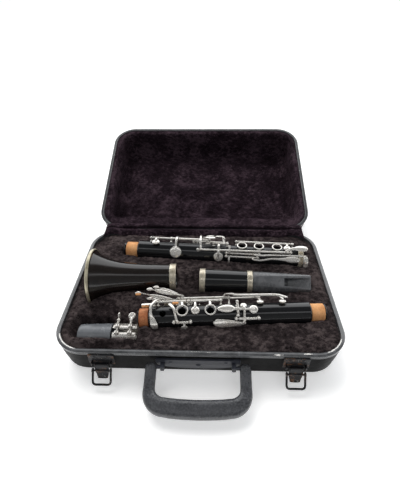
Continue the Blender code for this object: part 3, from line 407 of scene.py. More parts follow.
def make_rim():
    """Gloss black edging: chips to pale metal follow the wear attribute."""
    sh = Shader("case_rim_enamel", (0.030, 0.031, 0.034), 0.3, 0.0, Coat_Weight=0.6, Coat_Roughness=0.12, Specular_IOR_Level=0.6)
    wear = sh.attribute("wear")
    flakes = sh.noise(420, 5, 0.75)
    mask = sh.ramp(sh.math("ADD", wear, sh.math("MULTIPLY", sh.math("SUBTRACT", flakes, 0.5), 1.5)), [(0.62, 0.0), (0.70, 1.0)])
    dirt = sh.noise(130, 5)
    base = sh.ramp(dirt, [(0.3, (0.030, 0.031, 0.033)), (0.7, (0.076, 0.078, 0.083))])
    sh.colour(sh.mix(mask, base, (0.74, 0.72, 0.69)))
    sh.rough(sh.mix(mask, sh.ramp(dirt, [(0.3, 0.14), (0.75, 0.30)]), (0.38, 0.38, 0.38)))
    sh.bump(sh.math("SUBTRACT", sh.noise(700, 4), sh.math("MULTIPLY", mask, 0.8)), 0.3, 0.00015)
    return sh.mat


def make_plush(name, dark, mid, light, fleck):
    """Deep pile: mottled where the pile lies different ways, with painted light that makes it paler on the raised tips
    and painted shade that makes it nearly black in the low spots between the tufts.
    """
    sh = Shader(name, mid, 0.98, 0.0, Sheen_Weight=0.10, Sheen_Roughness=0.5, Specular_IOR_Level=0.03)
    sh.b.inputs["Sheen Tint"].default_value = (*[min(1, c * 9) for c in light], 1)
    patch = sh.noise(30, 4, 0.62, distortion=0.6)
    lay = sh.noise(260, 5, 0.72, vector=sh.scaled(0.8, 1.4, 1.0), distortion=0.9)
    tuft = sh.noise(520, 5, 0.75, distortion=0.8)
    hair = sh.noise(1300, 3, 0.6)
    # The per-point pile attribute carries random tone plus painted light on raised clumps and painted shade along the
    # hinge flap's crease.
    pile_tone_and_shade = sh.attribute("pile_tone_and_shade")
    # Painted light: lay, tuft and hair also make the bump below, so the tone is paler where the pile stands high;
    # patch adds random mottling.
    tone = sh.math("ADD", sh.math("MULTIPLY", patch, 0.34), sh.math("ADD", sh.math("MULTIPLY", lay, 0.46), sh.math("MULTIPLY", pile_tone_and_shade, 0.26)))
    tone = sh.math("ADD", tone, sh.math("ADD", sh.math("MULTIPLY", hair, 0.20), sh.math("MULTIPLY", tuft, 0.46)))
    body = sh.ramp(tone, [(0.68, dark), (0.85, mid), (1.0, light)])
    # Painted shade: where the lay noise, and so the bump, is low, the colour is pulled nearly black between the tufts.
    painted_pit_shade = sh.ramp(lay, [(0.34, 1.0), (0.45, 0.0)])
    body = sh.mix(sh.math("MULTIPLY", painted_pit_shade, 0.7), body, dark)
    specks = sh.ramp(sh.noise(560, 2, 0.5), [(0.765, 0.0), (0.785, 1.0)])
    sh.colour(sh.mix(sh.math("MULTIPLY", specks, 0.35), body, fleck))
    sh.bump(sh.math("ADD", sh.math("MULTIPLY", lay, 1.0), sh.math("ADD", sh.math("MULTIPLY", tuft, 0.8), sh.math("MULTIPLY", hair, 0.4))), 1.0, 0.0018)
    return sh.mat


def make_gloss(name, colour, lift, rough=0.13, streak=0.02):
    """Turned and polished black: faint lathe marks, a soft handled haze."""
    sh = Shader(name, colour, rough, 0.0, Coat_Weight=0.25, Coat_Roughness=0.08, Specular_IOR_Level=0.55)
    haze = sh.noise(70, 5, 0.6)
    sh.colour(sh.ramp(haze, [(0.3, colour), (0.8, lift)]))
    sh.rough(sh.ramp(sh.noise(160, 6, 0.65), [(0.3, rough * 0.85), (0.75, rough * 1.5)]))
    sh.bump(sh.noise(420, 4), streak, 0.0002)
    return sh.mat


def make_nickel(name, bright, dull, rough=0.17):
    """Nickel plate, tarnished in the hollows and warm where handled."""
    sh = Shader(name, bright, rough, 0.74)
    cloud = sh.noise(120, 5, 0.6)
    fine = sh.noise(800, 4, 0.6)
    sh.colour(sh.ramp(sh.math("ADD", sh.math("MULTIPLY", cloud, 0.75), sh.math("MULTIPLY", fine, 0.25)), [(0.30, dull), (0.52, bright), (0.8, tuple(min(1, c * 1.08) for c in bright))]))
    sh.rough(sh.ramp(cloud, [(0.3, rough * 1.7), (0.65, rough)]))
    sh.bump(fine, 0.06, 0.00015)
    return sh.mat


def make_cork():
    """Cork: lenticels and dark specks on a warm tan."""
    sh = Shader("cork_tan", (0.60, 0.30, 0.13), 0.85, 0.0, Specular_IOR_Level=0.3)
    fleck = sh.noise(620, 5, 0.75)
    cells = sh.voronoi(1100)
    tint = sh.noise(90, 4)
    base = sh.ramp(tint, [(0.3, (0.50, 0.22, 0.085)), (0.55, (0.66, 0.33, 0.14)), (0.8, (0.74, 0.43, 0.22))])
    sh.colour(sh.mix(sh.ramp(fleck, [(0.34, 1.0), (0.44, 0.0)]), base, (0.26, 0.10, 0.04)))
    sh.bump(sh.math("ADD", fleck, cells), 0.5, 0.0003)
    return sh.mat


def make_cork_red():
    sh = Shader("cork_red", (0.40, 0.14, 0.05), 0.6, 0.0, Specular_IOR_Level=0.4)
    fleck = sh.noise(560, 5, 0.75)
    tint = sh.noise(110, 4)
    base = sh.ramp(tint, [(0.3, (0.28, 0.085, 0.035)), (0.6, (0.46, 0.18, 0.075)), (0.85, (0.56, 0.27, 0.12))])
    sh.colour(sh.mix(sh.ramp(fleck, [(0.34, 1.0), (0.44, 0.0)]), base, (0.12, 0.04, 0.02)))
    sh.bump(fleck, 0.5, 0.0003)
    return sh.mat


def make_satin(name, colour, lift, rough):
    sh = Shader(name, colour, rough, 0.0, Specular_IOR_Level=0.6)
    haze = sh.noise(90, 6, 0.7)
    scratch = sh.noise(60, 5, 0.7, vector=sh.scaled(0.6, 9.0, 9.0))
    sh.colour(sh.ramp(sh.math("ADD", sh.math("MULTIPLY", haze, 0.6), sh.math("MULTIPLY", scratch, 0.4)), [(0.35, colour), (0.7, lift)]))
    sh.rough(sh.ramp(haze, [(0.3, rough * 0.85), (0.7, rough * 1.25)]))
    sh.bump(sh.noise(900, 4), 0.15, 0.0002)
    return sh.mat


def make_handle():
    """Moulded handle: a leather-like grain on grey-black plastic."""
    sh = Shader("handle_grain_plastic", (0.036, 0.038, 0.042), 0.4, 0.0, Specular_IOR_Level=0.7)
    cells = sh.voronoi(620, feature="SMOOTH_F1")
    haze = sh.noise(60, 5, 0.6)
    sh.colour(sh.ramp(sh.math("ADD", sh.math("MULTIPLY", haze, 0.6), sh.math("MULTIPLY", cells, 0.6)), [(0.25, (0.018, 0.0186, 0.0208)), (0.7, (0.060, 0.062, 0.068))]))
    sh.rough(sh.ramp(haze, [(0.3, 0.20), (0.7, 0.34)]))
    sh.bump(sh.math("ADD", cells, sh.math("MULTIPLY", sh.noise(1500, 3), 0.4)), 0.7, 0.00045)
    return sh.mat


def make_latch():
    """Black enamelled steel, worn through to bare metal, with rust-brown stains."""
    sh = Shader("latch_enamel", (0.02, 0.02, 0.02), 0.35, 0.35)
    wear = sh.attribute("wear")
    flakes = sh.noise(480, 5, 0.75)
    bare = sh.ramp(sh.math("ADD", wear, sh.math("MULTIPLY", sh.math("SUBTRACT", flakes, 0.5), 1.6)), [(0.60, 0.0), (0.70, 1.0)])
    rust = sh.ramp(sh.math("ADD", sh.noise(150, 5, 0.75), sh.math("MULTIPLY", sh.math("SUBTRACT", wear, 0.3), 0.35)), [(0.585, 0.0), (0.66, 1.0)])
    enamel = sh.mix(sh.math("MULTIPLY", rust, 0.75), (0.010, 0.010, 0.012), (0.15, 0.070, 0.032))
    sh.colour(sh.mix(bare, enamel, (0.55, 0.52, 0.48)))
    sh.rough(sh.ramp(flakes, [(0.3, 0.25), (0.7, 0.5)]))
    sh.bump(flakes, 0.25, 0.0002)
    return sh.mat


SHELL = make_shell()
RIM = make_rim()
PLUSH = make_plush("plush_brown_black", (0.0022, 0.0017, 0.0018), (0.0225, 0.0172, 0.0182), (0.078, 0.062, 0.061), (0.30, 0.26, 0.24))
LIDPLUSH = make_plush("plush_plum", (0.0016, 0.0011, 0.0014), (0.0132, 0.0084, 0.0118), (0.054, 0.036, 0.046), (0.34, 0.30, 0.32))
LATCH = make_latch()
GRIP = make_handle()
EBONITE = make_gloss("joint_gloss_black", (0.0030, 0.0032, 0.0038), (0.0065, 0.0068, 0.0078), 0.10)
BELLMAT = make_gloss("bell_brown_black", (0.0046, 0.0030, 0.0024), (0.0098, 0.0064, 0.0048), 0.15)
NICKEL = make_nickel("key_nickel", (0.88, 0.85, 0.80), (0.66, 0.61, 0.54))
RINGMAT = make_nickel("ring_nickel_silver", (0.70, 0.64, 0.52), (0.40, 0.34, 0.24), 0.24)
BELLRING = make_nickel("bell_ring_dull", (0.56, 0.51, 0.38), (0.33, 0.28, 0.18), 0.30)
CORK, CORK_RED = make_cork(), make_cork_red()
RUBBER = make_satin("mouthpiece_rubber", (0.052, 0.054, 0.058), (0.115, 0.118, 0.125), 0.26)
CAPMAT = make_satin("cap_satin_plastic", (0.095, 0.101, 0.110), (0.165, 0.174, 0.188), 0.24)
BRACKET = make_satin("bracket_black_enamel", (0.020, 0.022, 0.030), (0.042, 0.045, 0.058), 0.32)
PAD = make_satin("pad_skin", (0.55, 0.46, 0.34), (0.72, 0.64, 0.50), 0.6)
BLACKHOLE = make_satin("bore_shadow", (0.002, 0.002, 0.002), (0.004, 0.004, 0.004), 0.5)
STEEL = make_nickel("screw_steel", (0.62, 0.62, 0.63), (0.40, 0.38, 0.36), 0.25)
SEAM = make_satin("liner_edge_grey", (0.10, 0.10, 0.10), (0.20, 0.195, 0.19), 0.34)


# --------------------------------------------------------------------- pieces
def section_frame(location, tilt, roll=0.0):
    turn = Matrix.Rotation(math.radians(tilt), 4, "Z") @ Matrix.Rotation(math.radians(roll), 4, "X")
    return Matrix.Translation(Vector(location)) @ turn


UPPER = section_frame((-72.5, -58.5, 40.0), 3.34, 17.0)
LOWER = section_frame((-111.4, 68.7, 40.0), -3.6)
BELL = section_frame((-140.0, 2.6, 46.6), 1.5)
BARREL = section_frame((-1.6, 2.2, 43.6), -1.3, 38.0)
LIGA = section_frame((-99.8, -73.5, 24.5), 0.6, 10.0)
CAP = section_frame((-142.0, -73.6, 23.2), 0.6)
WORLD = Matrix.Identity(4)
OPEN_LID = Matrix.Translation(PIVOT) @ Matrix.Rotation(math.radians(-LID_OPEN), 4, "X") @ Matrix.Translation(-PIVOT)


def place(name, geo, mats, at, body, stands_for=(), smooth=38.0, fix=True):
    """Sets a piece drawn in millimetres into the case and lets it ride on its body."""
    mats = mats if isinstance(mats, (list, tuple)) else [mats]
    mesh = geo if isinstance(geo, bpy.types.Mesh) else geo.mesh(name, mats, smooth, fix)
    if isinstance(geo, bpy.types.Mesh):
        mesh.materials.clear()
        for mat in mats:
            mesh.materials.append(mat)
    mesh.transform(Matrix.Scale(MM, 4) @ at)
    obj = bpy.data.objects.new(name, mesh)
    COL.objects.link(obj)
    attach(obj, body)
    if stands_for:
        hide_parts(*stands_for)
    return obj


def subtract(base, cutters, smooth=38.0):
    """Cuts each cutter from base and returns a mesh, still in millimetres."""
    a = bpy.data.objects.new("a", base.mesh("a", (), smooth))
    COL.objects.link(a)
    made = []
    for cutter in cutters:
        b = bpy.data.objects.new("b", cutter.mesh("b", (), None))
        COL.objects.link(b)
        mod = a.modifiers.new("cut", "BOOLEAN")
        mod.solver = "EXACT"
        mod.operation = "DIFFERENCE"
        mod.object = b
        made.append(b)
    bpy.context.view_layer.update()
    mesh = bpy.data.meshes.new_from_object(a.evaluated_get(bpy.context.evaluated_depsgraph_get()))
    for obj in [a] + made:
        bpy.data.objects.remove(obj)
    mesh.shade_smooth()
    mesh.set_sharp_from_angle(angle=math.radians(smooth))
    return mesh


def wear_attribute(obj, rule):
    """Writes how worn each point is, 0 to 1, from its place in millimetres."""
    mesh = obj.data
    att = mesh.attributes.new("wear", "FLOAT", "POINT")
    att.data.foreach_set("value", [float(min(1.0, max(0.0, rule(v.co / MM)))) for v in mesh.vertices])


# ----------------------------------------------------------------------- case
def rounded(length, depth, radius, z, n=14, straight=1):
    """A rounded rectangle at height z, anticlockwise from the right; straight adds points on the sides."""
    pts = []
    corners = ((1, 1, 0), (-1, 1, 90), (-1, -1, 180), (1, -1, 270))
    for i, (cx, cy, start) in enumerate(corners):
        for k in range(n + 1):
            a = math.radians(start + 90 * k / n)
            pts.append(Vector((cx * (length / 2 - radius) + radius * math.cos(a), cy * (depth / 2 - radius) + radius * math.sin(a), z)))
        if straight > 1:
            nx, ny, nstart = corners[(i + 1) % 4]
            a = math.radians(nstart)
            q = Vector((nx * (length / 2 - radius) + radius * math.cos(a), ny * (depth / 2 - radius) + radius * math.sin(a), z))
            p = pts[-1]
            pts += [p.lerp(q, k / straight) for k in range(1, straight)]
    return pts


def case_loop(inset, z, n=14, straight=1):
    radius = max(2.0, CASE_R - inset)
    return rounded(CASE_L - 2 * inset, CASE_D - 2 * inset, radius, z, n, straight)


def tray(height, edge, draft):
    """A moulded tray, floor down."""
    top = height - RIM_H - GAP
    outer = []
    for k in range(9):
        outer.append(case_loop(draft + edge * (1 - math.sin(math.pi / 2 * k / 8)), edge * (1 - math.cos(math.pi / 2 * k / 8))))
    outer.append(case_loop(draft * 0.42, top * 0.62))
    outer.append(case_loop(0.0, top))
    inner = [case_loop(WALL, top), case_loop(draft + WALL, edge), case_loop(draft + WALL + 0.5 * (edge - WALL), WALL + 0.3 * (edge - WALL)), case_loop(draft + edge, WALL)]
    return loft(outer + inner)


def case_rim(sign):
    """The edging round the mouth: a rounded lip, a bead, a groove and a second flat band. sign 1 has the lip up."""
    rows = [
        (0.3, -6.0), (-0.25, -5.7), (-0.35, -4.2), (-0.1, -3.75), (0.15, -3.5), (0.15, -3.1), (-0.5, -2.85),
        (-0.85, -2.4), (-0.9, -1.6), (-0.7, -0.95), (-0.2, -0.55), (0.5, -0.32), (1.7, -0.22), (2.5, -0.24), (2.75, -0.45),
        (3.05, -0.50), (3.3, -0.30), (3.75, -0.25), (4.0, -0.5), (4.0, -6.0),
    ]
    loops = [case_loop(inset, BASE_H + dz * sign, 18, 24) for inset, dz in rows]
    return loft(loops, ring=True)


base_shell = place("case_base_shell", tray(BASE_H, 10.0, 4.0), SHELL, WORLD, "case_base", ["base_shell"])
lid_geo = tray(LID_H, 8.0, 2.5).moved(Matrix.Translation((0, 0, BASE_H + LID_H)) @ Matrix.Rotation(math.pi, 4, "X"))
lid_shell = place("case_lid_shell", lid_geo, SHELL, OPEN_LID, "lid", ["lid_shell"])

rim_base = place("case_base_rim", case_rim(1), RIM, WORLD, "case_base", ["base_rim"])
rim_lid = place("case_lid_rim", case_rim(-1), RIM, OPEN_LID, "lid", ["lid_rim"])


def chip(p, at, along, size):
    """A knocked spot: a soft box of wear along x."""
    d = Vector((p.x - at[0], p.y - at[1]))
    a = math.radians(along)
    u, v = d.x * math.cos(a) + d.y * math.sin(a), -d.x * math.sin(a) + d.y * math.cos(a)
    return max(0.0, 1 - (u / size[0]) ** 2) * max(0.0, 1 - (v / size[1]) ** 2)


CHIPS = [
    ((-6.0, -106.7), 0, (12, 1.2), 0.95), ((7.0, -107.2), 0, (5, 1.7), 1.3), ((16.0, -106.8), 0, (4, 1.5), 1.2),
    ((-24.0, -109.6), 0, (3, 1.8), 1.4), ((84.0, -109.0), 0, (4, 2.0), 1.2),
    ((118.0, -106.8), 0, (7, 1.6), 1.2), ((100.0, -108.2), 0, (3, 1.6), 0.9),
]


def corner_wear(p, cx, a0, a1):
    """Bare metal along the inner bead, round part of one front corner."""
    d = Vector((p.x - cx, p.y + CASE_D / 2 - CASE_R))
    a = math.degrees(math.atan2(d.y, d.x)) % 360
    across = max(0.0, 1 - abs(d.length - (CASE_R - 2.9)) / 1.3)
    along = min(1.0, max(0.0, (a - a0) / 8), max(0.0, (a1 - a) / 8))
    return 1.35 * across * along


def rim_wear(p):
    lip = 1.0 if p.z > BASE_H - 1.2 else 0.35
    worn = sum(chip(p, at, along, size) * gain for at, along, size, gain in CHIPS)
    flat = CASE_L / 2 - CASE_R
    worn += corner_wear(p, -flat, 196, 262) + corner_wear(p, flat, 284, 342)
    line = 0.22 * max(0.0, 1 - abs(p.z - (BASE_H - 0.3)) / 0.5)
    return worn * lip * 0.62 + line


wear_attribute(rim_base, rim_wear)
wear_attribute(rim_lid, lambda p: 0.12)

# Piano hinge between the backs of the rims.
back = CASE_D / 2 + RIM_PROUD + GAP
KN = 200.0 / 5
for sign, slots, name, at, body in ((-1, (0, 2, 4), "hinge_leaf_base", WORLD, "case_base"), (1, (1, 3), "hinge_leaf_lid", OPEN_LID, "lid")):
    z0, z1 = sorted((BASE_H + sign * 0.9, BASE_H + sign * 10.0))
    geo = block((-100, back, z0), (100, back + 1.0, z1), 0.2)
    for i in slots:
        x0 = -100 + i * KN + 0.25
        x1 = x0 + KN - 0.5
        geo.join(lathe([(x0, 1.1), (x0, 2.2), (x0 + 0.15, 2.3), (x1 - 0.15, 2.3), (x1, 2.2), (x1, 1.1)], 28).moved(Matrix.Translation((0, PIVOT.y, BASE_H))))
        a, b = sorted((BASE_H + sign * 0.4, BASE_H + sign * 2.1))
        geo.join(block((x0 + 0.6, back + 0.3, a), (x1 - 0.6, PIVOT.y + 0.1, b), 0.1))
    for i in range(7):
        geo.join(turned((-90 + 30 * i, back + 0.9, BASE_H + sign * 6.4), (0, 1, 0), [(0, 0), (0, 1.7), (0.4, 1.4), (0.7, 0.6), (0.75, 0)], 16))
    obj = place(name + "_detail", geo, LATCH, at, body, [name])
    wear_attribute(obj, lambda p: 0.12)
obj = place("hinge_pin_detail", lathe([(-101, 0), (-101, 0.6), (-100.7, 0.9), (100.7, 0.9), (101, 0.6), (101, 0)], 20, closed=False).moved(Matrix.Translation((0, PIVOT.y, BASE_H))), STEEL, WORLD, "case_base", ["hinge_pin"])


# ---------------------------------------------------------------------- plush
SECTION_NODES = [n for body, members in RECORD["behaviour"]["bodies"].items() for n in members if body.startswith(("bell", "barrel", "mouthpiece", "ligature", "thumbscrew", "cap", "upper_joint", "lower_joint", "key_"))]


def section_tree():
    """All the sections' triangles in one tree, in millimetres."""
    verts, faces = [], []
    for n in SECTION_NODES:
        mesh = NODES[n].data
        at = len(verts)
        verts += [v.co / MM for v in mesh.vertices]
        faces += [tuple(at + i for i in p.vertices) for p in mesh.polygons]
    return BVHTree.FromPolygons(verts, faces)


def tuft(x, y, z, scale, seed=0.0):
    return noise.noise(Vector((x / scale + seed, y / scale - seed, z / scale + 0.5 * seed)))


def inside_case(x, y, inset):
    hx, hy, r = CASE_L / 2 - inset, CASE_D / 2 - inset, CASE_R - inset
    dx, dy = abs(x) - (hx - r), abs(y) - (hy - r)
    if dx > 0 and dy > 0:
        return math.hypot(dx, dy) - r
    return max(abs(x) - hx, abs(y) - hy)


LEVEL = 40.2
# (x, y, half length, half width, depth): places where the lining is pulled or pressed lower.
DIPS = [
    (-16.0, 2.5, 15.0, 14.0, 15.0),
    (-97.0, -48.0, 34.0, 12.0, 8.0),
    (-88.0, -70.0, 17.0, 12.0, 14.0),
    (-45.0, -33.0, 30.0, 12.0, 5.0),
    (-70.0, 33.0, 40.0, 10.0, 3.0),
    (60.0, 22.0, 60.0, 9.0, 3.0),
]


def base_plush():
    """A padded block the sections are pressed into: level by level the pile gives way under them."""
    step = 1.25
    xs = np.arange(-CASE_L / 2 + 2.2, CASE_L / 2 - 2.2 + 0.01, step)
    ys = np.arange(-CASE_D / 2 + 2.2, CASE_D / 2 - 2.2 + 0.01, step)
    tree = section_tree()
    up = Vector((0, 0, 1))
    nx, ny = len(xs), len(ys)
    under = np.full((nx, ny), 1e3)
    for i, x in enumerate(xs):
        for j, y in enumerate(ys):
            hit = tree.ray_cast(Vector((x, y, -20.0)), up)
            if hit[0] is not None:
                under[i, j] = hit[0].z - 0.7
    # The floor of the lining, and where a hand's pull has opened a pocket round a section.
    top = np.zeros((nx, ny))
    for i, x in enumerate(xs):
        for j, y in enumerate(ys):
            swell = 1.3 * tuft(x, y, 0, 46, 3.1) + 1.3 * tuft(x, y * 1.6, 0, 19, 7.7)
            edge = -inside_case(x, y, 4.0)
            lift = 0.9 - 3.0 * math.exp(-max(0.0, edge) / 3.0)
            top[i, j] = LEVEL + swell + lift
    for cx, cy, rx, ry, depth in DIPS:
        d = ((xs[:, None] - cx) / rx) ** 2 + ((ys[None, :] - cy) / ry) ** 2
        top -= depth * np.exp(-d * 1.2)
    z = np.minimum(top, under)
    # Pile can't stand in a cliff: limit the slope out from under each section.
    for slope, rounds in ((2.6, 16),):
        for _ in range(rounds):
            for dx, dy in ((1, 0), (0, 1), (1, 1), (1, -1)):
                reach = step * math.hypot(dx, dy) * slope
                a = z[dx:, (dy if dy > 0 else 0) : (ny if dy >= 0 else ny + dy)]
                b = z[: nx - dx, (0 if dy >= 0 else -dy) : (ny - dy if dy > 0 else ny)]
                low_a, low_b = np.minimum(a, b + reach), np.minimum(b, a + reach)
                a[...] = low_a
                b[...] = np.minimum(low_b, low_a + reach)
    # In front of the cap and ligature the lining stands as an upright wall.
    upright = (ys[None, :] < -89.6) & (ys[None, :] > -100.0) & (xs[:, None] > -146.0) & (xs[:, None] < -71.0)
    bank = 4.0 * np.clip((ys[None, :] + 101.0) / 6.0, 0, 1) * np.clip((xs[:, None] + 150.0) / 8.0, 0, 1) * np.clip((-66.0 - xs[:, None]) / 10.0, 0, 1)
    z = np.where(upright, np.minimum(top + bank, under), z)
    # A little smoothing, then the pile's own unevenness, held under the sections.
    for _ in range(2):
        s = z.copy()
        s[1:-1, 1:-1] = (z[1:-1, 1:-1] * 4 + z[:-2, 1:-1] + z[2:, 1:-1] + z[1:-1, :-2] + z[1:-1, 2:]) / 8
        z = s
    pile_tone_and_shade = np.zeros((nx, ny))
    for i, x in enumerate(xs):
        for j, y in enumerate(ys):
            clump = tuft(x, y * 1.5, 0, 6.4, 1.0) * 0.7 + tuft(x, y, 0, 2.7, 5.0) * 0.5
            z[i, j] = min(z[i, j] + 1.5 * clump, under[i, j])
            # Pile tone: random, plus painted light, paler where the clump noise raises the pile just above.
            pile_tone_and_shade[i, j] = 0.5 + clump * 0.8 + 0.4 * tuft(x, y, 0, 28, 9.0)
    verts, index, values = [], {}, []
    for i, x in enumerate(xs):
        for j, y in enumerate(ys):
            if inside_case(x, y, 2.6) < step:
                index[i, j] = len(verts)
                verts.append((x, y, min(z[i, j], BASE_H - 0.8 if inside_case(x, y, 4.6) > 0 else 60)))
                values.append(pile_tone_and_shade[i, j])
    faces = []
    for i in range(nx - 1):
        for j in range(ny - 1):
            quad = [index.get(k) for k in ((i, j), (i + 1, j), (i + 1, j + 1), (i, j + 1))]
            if None not in quad:
                faces.append(tuple(quad))
    geo = Geo().add(verts, faces)
    # A skirt and a floor close the block under the rim.
    count = {}
    for f in faces:
        for a, b in zip(f, f[1:] + f[:1]):
            count[(a, b)] = 1
    border = {a: b for a, b in count if (b, a) not in count}
    start = next(iter(border))
    loop, at = [start], border[start]
    while at != start:
        loop.append(at)
        at = border[at]
    down = []
    for k in loop:
        down.append(len(geo.v))
        p = geo.v[k]
        dist = -inside_case(p.x, p.y, 0)
        pull = 1 - 13.5 / 160
        geo.v.append(Vector((p.x * pull, p.y * (1 - 13.5 / 106), 3.2)))
        values.append(0.3)
    n = len(loop)
    for k in range(n):
        geo.f.append((loop[k], down[k], down[(k + 1) % n], loop[(k + 1) % n]))
        geo.m.append(0)
    geo.f.append(tuple(down[::-1]))
    geo.m.append(0)
    mesh = geo.mesh("plush", [PLUSH], smooth=None)
    att = mesh.attributes.new("pile_tone_and_shade", "FLOAT", "POINT")
    att.data.foreach_set("value", [float(v) for v in values])
    return mesh


mesh = base_plush()
lining = place("plush_lining_base", mesh, [PLUSH], WORLD, "case_base", ["base_lining"])


def loop_at(inset, z, n=14, sx=64, sy=40):
    """A rounded rectangle whose every loop has the same count of points, so that loops join."""
    radius = max(1.0, CASE_R - inset)
    hx, hy = CASE_L / 2 - inset, CASE_D / 2 - inset
    radius = min(radius, hx, hy)
    pts = []
    corners = ((1, 1, 0), (-1, 1, 90), (-1, -1, 180), (1, -1, 270))
    for i, (cx, cy, start) in enumerate(corners):
        for k in range(n + 1):
            a = math.radians(start + 90 * k / n)
            pts.append(Vector((cx * (hx - radius) + radius * math.cos(a), cy * (hy - radius) + radius * math.sin(a), z)))
        mx, my, nstart = corners[(i + 1) % 4]
        a = math.radians(nstart)
        q = Vector((mx * (hx - radius) + radius * math.cos(a), my * (hy - radius) + radius * math.sin(a), z))
        p = pts[-1]
        count = sx if i % 2 == 0 else sy
        pts += [p.lerp(q, k / count) for k in range(1, count)]
    return pts


def case_loop_n(inset, z, n):
    loop = loop_at(inset, z)
    return loop[:n]


SLIT = (-38.0, 30.0)  # middle and half length of the gape in the lid's left wall


def lid_plush():
    """The lid's lining: a padded lip, a soft wall and a deep well, all one skin of pile."""
    top = BASE_H + LID_H
    rows = [(3.2, 50.2), (3.6, 48.0), (4.2, 46.4), (5.6, 45.2), (8.0, 44.9), (10.6, 45.3), (13.0, 47.0), (14.6, 50.5), (15.2, 56.0), (15.6, 64.0), (16.2, 73.0), (17.4, 80.0), (20.0, 85.2), (25.0, 87.8), (32.0, 88.4)]
    rows = spline(rows, 5)
    last = rows[-1][0]
    n_in = 38
    rows += [np.array((last + (CASE_D / 2 - 2.5 - last) * k / n_in, 88.4)) for k in range(1, n_in + 1)]
    loops, values = [], []
    for inset, z in rows:
        loops.append(loop_at(inset, z))
    pts = []
    for li, loop in enumerate(loops):
        n = len(loop)
        inset, z = rows[li]
        out = []
        for k, p in enumerate(loop):
            q = loop[(k + 1) % n] - loop[k - 1]
            inward = Vector((-q.y, q.x, 0))
            inward = inward.normalized() if inward.length > 1e-6 else Vector((0, 0, 0))
            steep = 1.0 if 13.0 < inset < 18.0 else (0.35 if inset < 13 else 0.0)
            fold = tuft(p.x, p.y, p.z, 30, 2.0) * 1.6 + tuft(p.x, p.y, p.z, 12, 4.0) * 0.8
            clump = tuft(p.x, p.y, p.z, 5.0, 6.0) * 0.6 + tuft(p.x, p.y, p.z, 2.4, 8.0) * 0.5
            keep = 0.0 if inset < 4.0 else 1.0
            move = inward * (fold * 1.3 + clump) * steep * keep
            rise = -(fold * 0.9 + clump * 1.0) * (1 - steep) * keep
            rise *= 0.5 if inset < 9 else 1.0
            v = Vector((p.x, p.y, p.z + rise)) + move
            wide = min(1.0, max(0.0, (inset - 7.0) / 8.0)) * max(0.0, 1 - max(0.0, inset - 20.0) / 40.0)
            v.y += 8.0 * wide * min(0.0, inward.y)
            # The lining has come away from the wall at the left and gapes in a slit.
            if 10.0 < inset < 17.5 and p.x < -100:
                u = (p.y - SLIT[0]) / SLIT[1]
                if abs(u) < 1:
                    w = (1 - u * u) ** 1.5 * math.sin(math.pi * (inset - 10.0) / 7.5)
                    v.z += 9.0 * w
                    v.x -= 2.5 * w
            v.z = min(v.z, top - 3.2)
            out.append(v)
            # Pile tone: random, plus painted light where the clump noise makes the pile stand out, and paler along the
            # padded lip.
            values.append(0.5 + clump * 0.8 + 0.45 * tuft(p.x, p.y, p.z, 26, 9.0) + (0.16 if inset < 12 else 0.0))
        pts.append(out)
    geo = loft(pts, caps=False)
    n = len(pts[0])
    geo.f.append(tuple((len(pts) - 1) * n + k for k in range(n)))
    geo.m.append(0)
    # The back of the skin, hidden against the shell, closes it.
    at = len(geo.v)
    hidden = [case_loop_n(3.4, 52.0, n), case_loop_n(5.6, 84.4, n), case_loop_n(11.0, top - WALL - 0.4, n)]
    for loop in hidden:
        geo.v += loop
        values += [0.2] * n
    prev = 0
    for h in range(3):
        row = at + h * n
        for k in range(n):
            j = (k + 1) % n
            geo.f.append((prev + k, row + k, row + j, prev + j))
            geo.m.append(0)
        prev = row
    geo.f.append(tuple(prev + k for k in range(n)))
    geo.m.append(0)
    mesh = geo.mesh("plush_lid", [LIDPLUSH], smooth=None)
    att = mesh.attributes.new("pile_tone_and_shade", "FLOAT", "POINT")
    att.data.foreach_set("value", [float(v) for v in values])
    return mesh


mesh = lid_plush()
lid_lining = place("plush_lining_lid", mesh, [LIDPLUSH], OPEN_LID, "lid", ["lid_lining"])


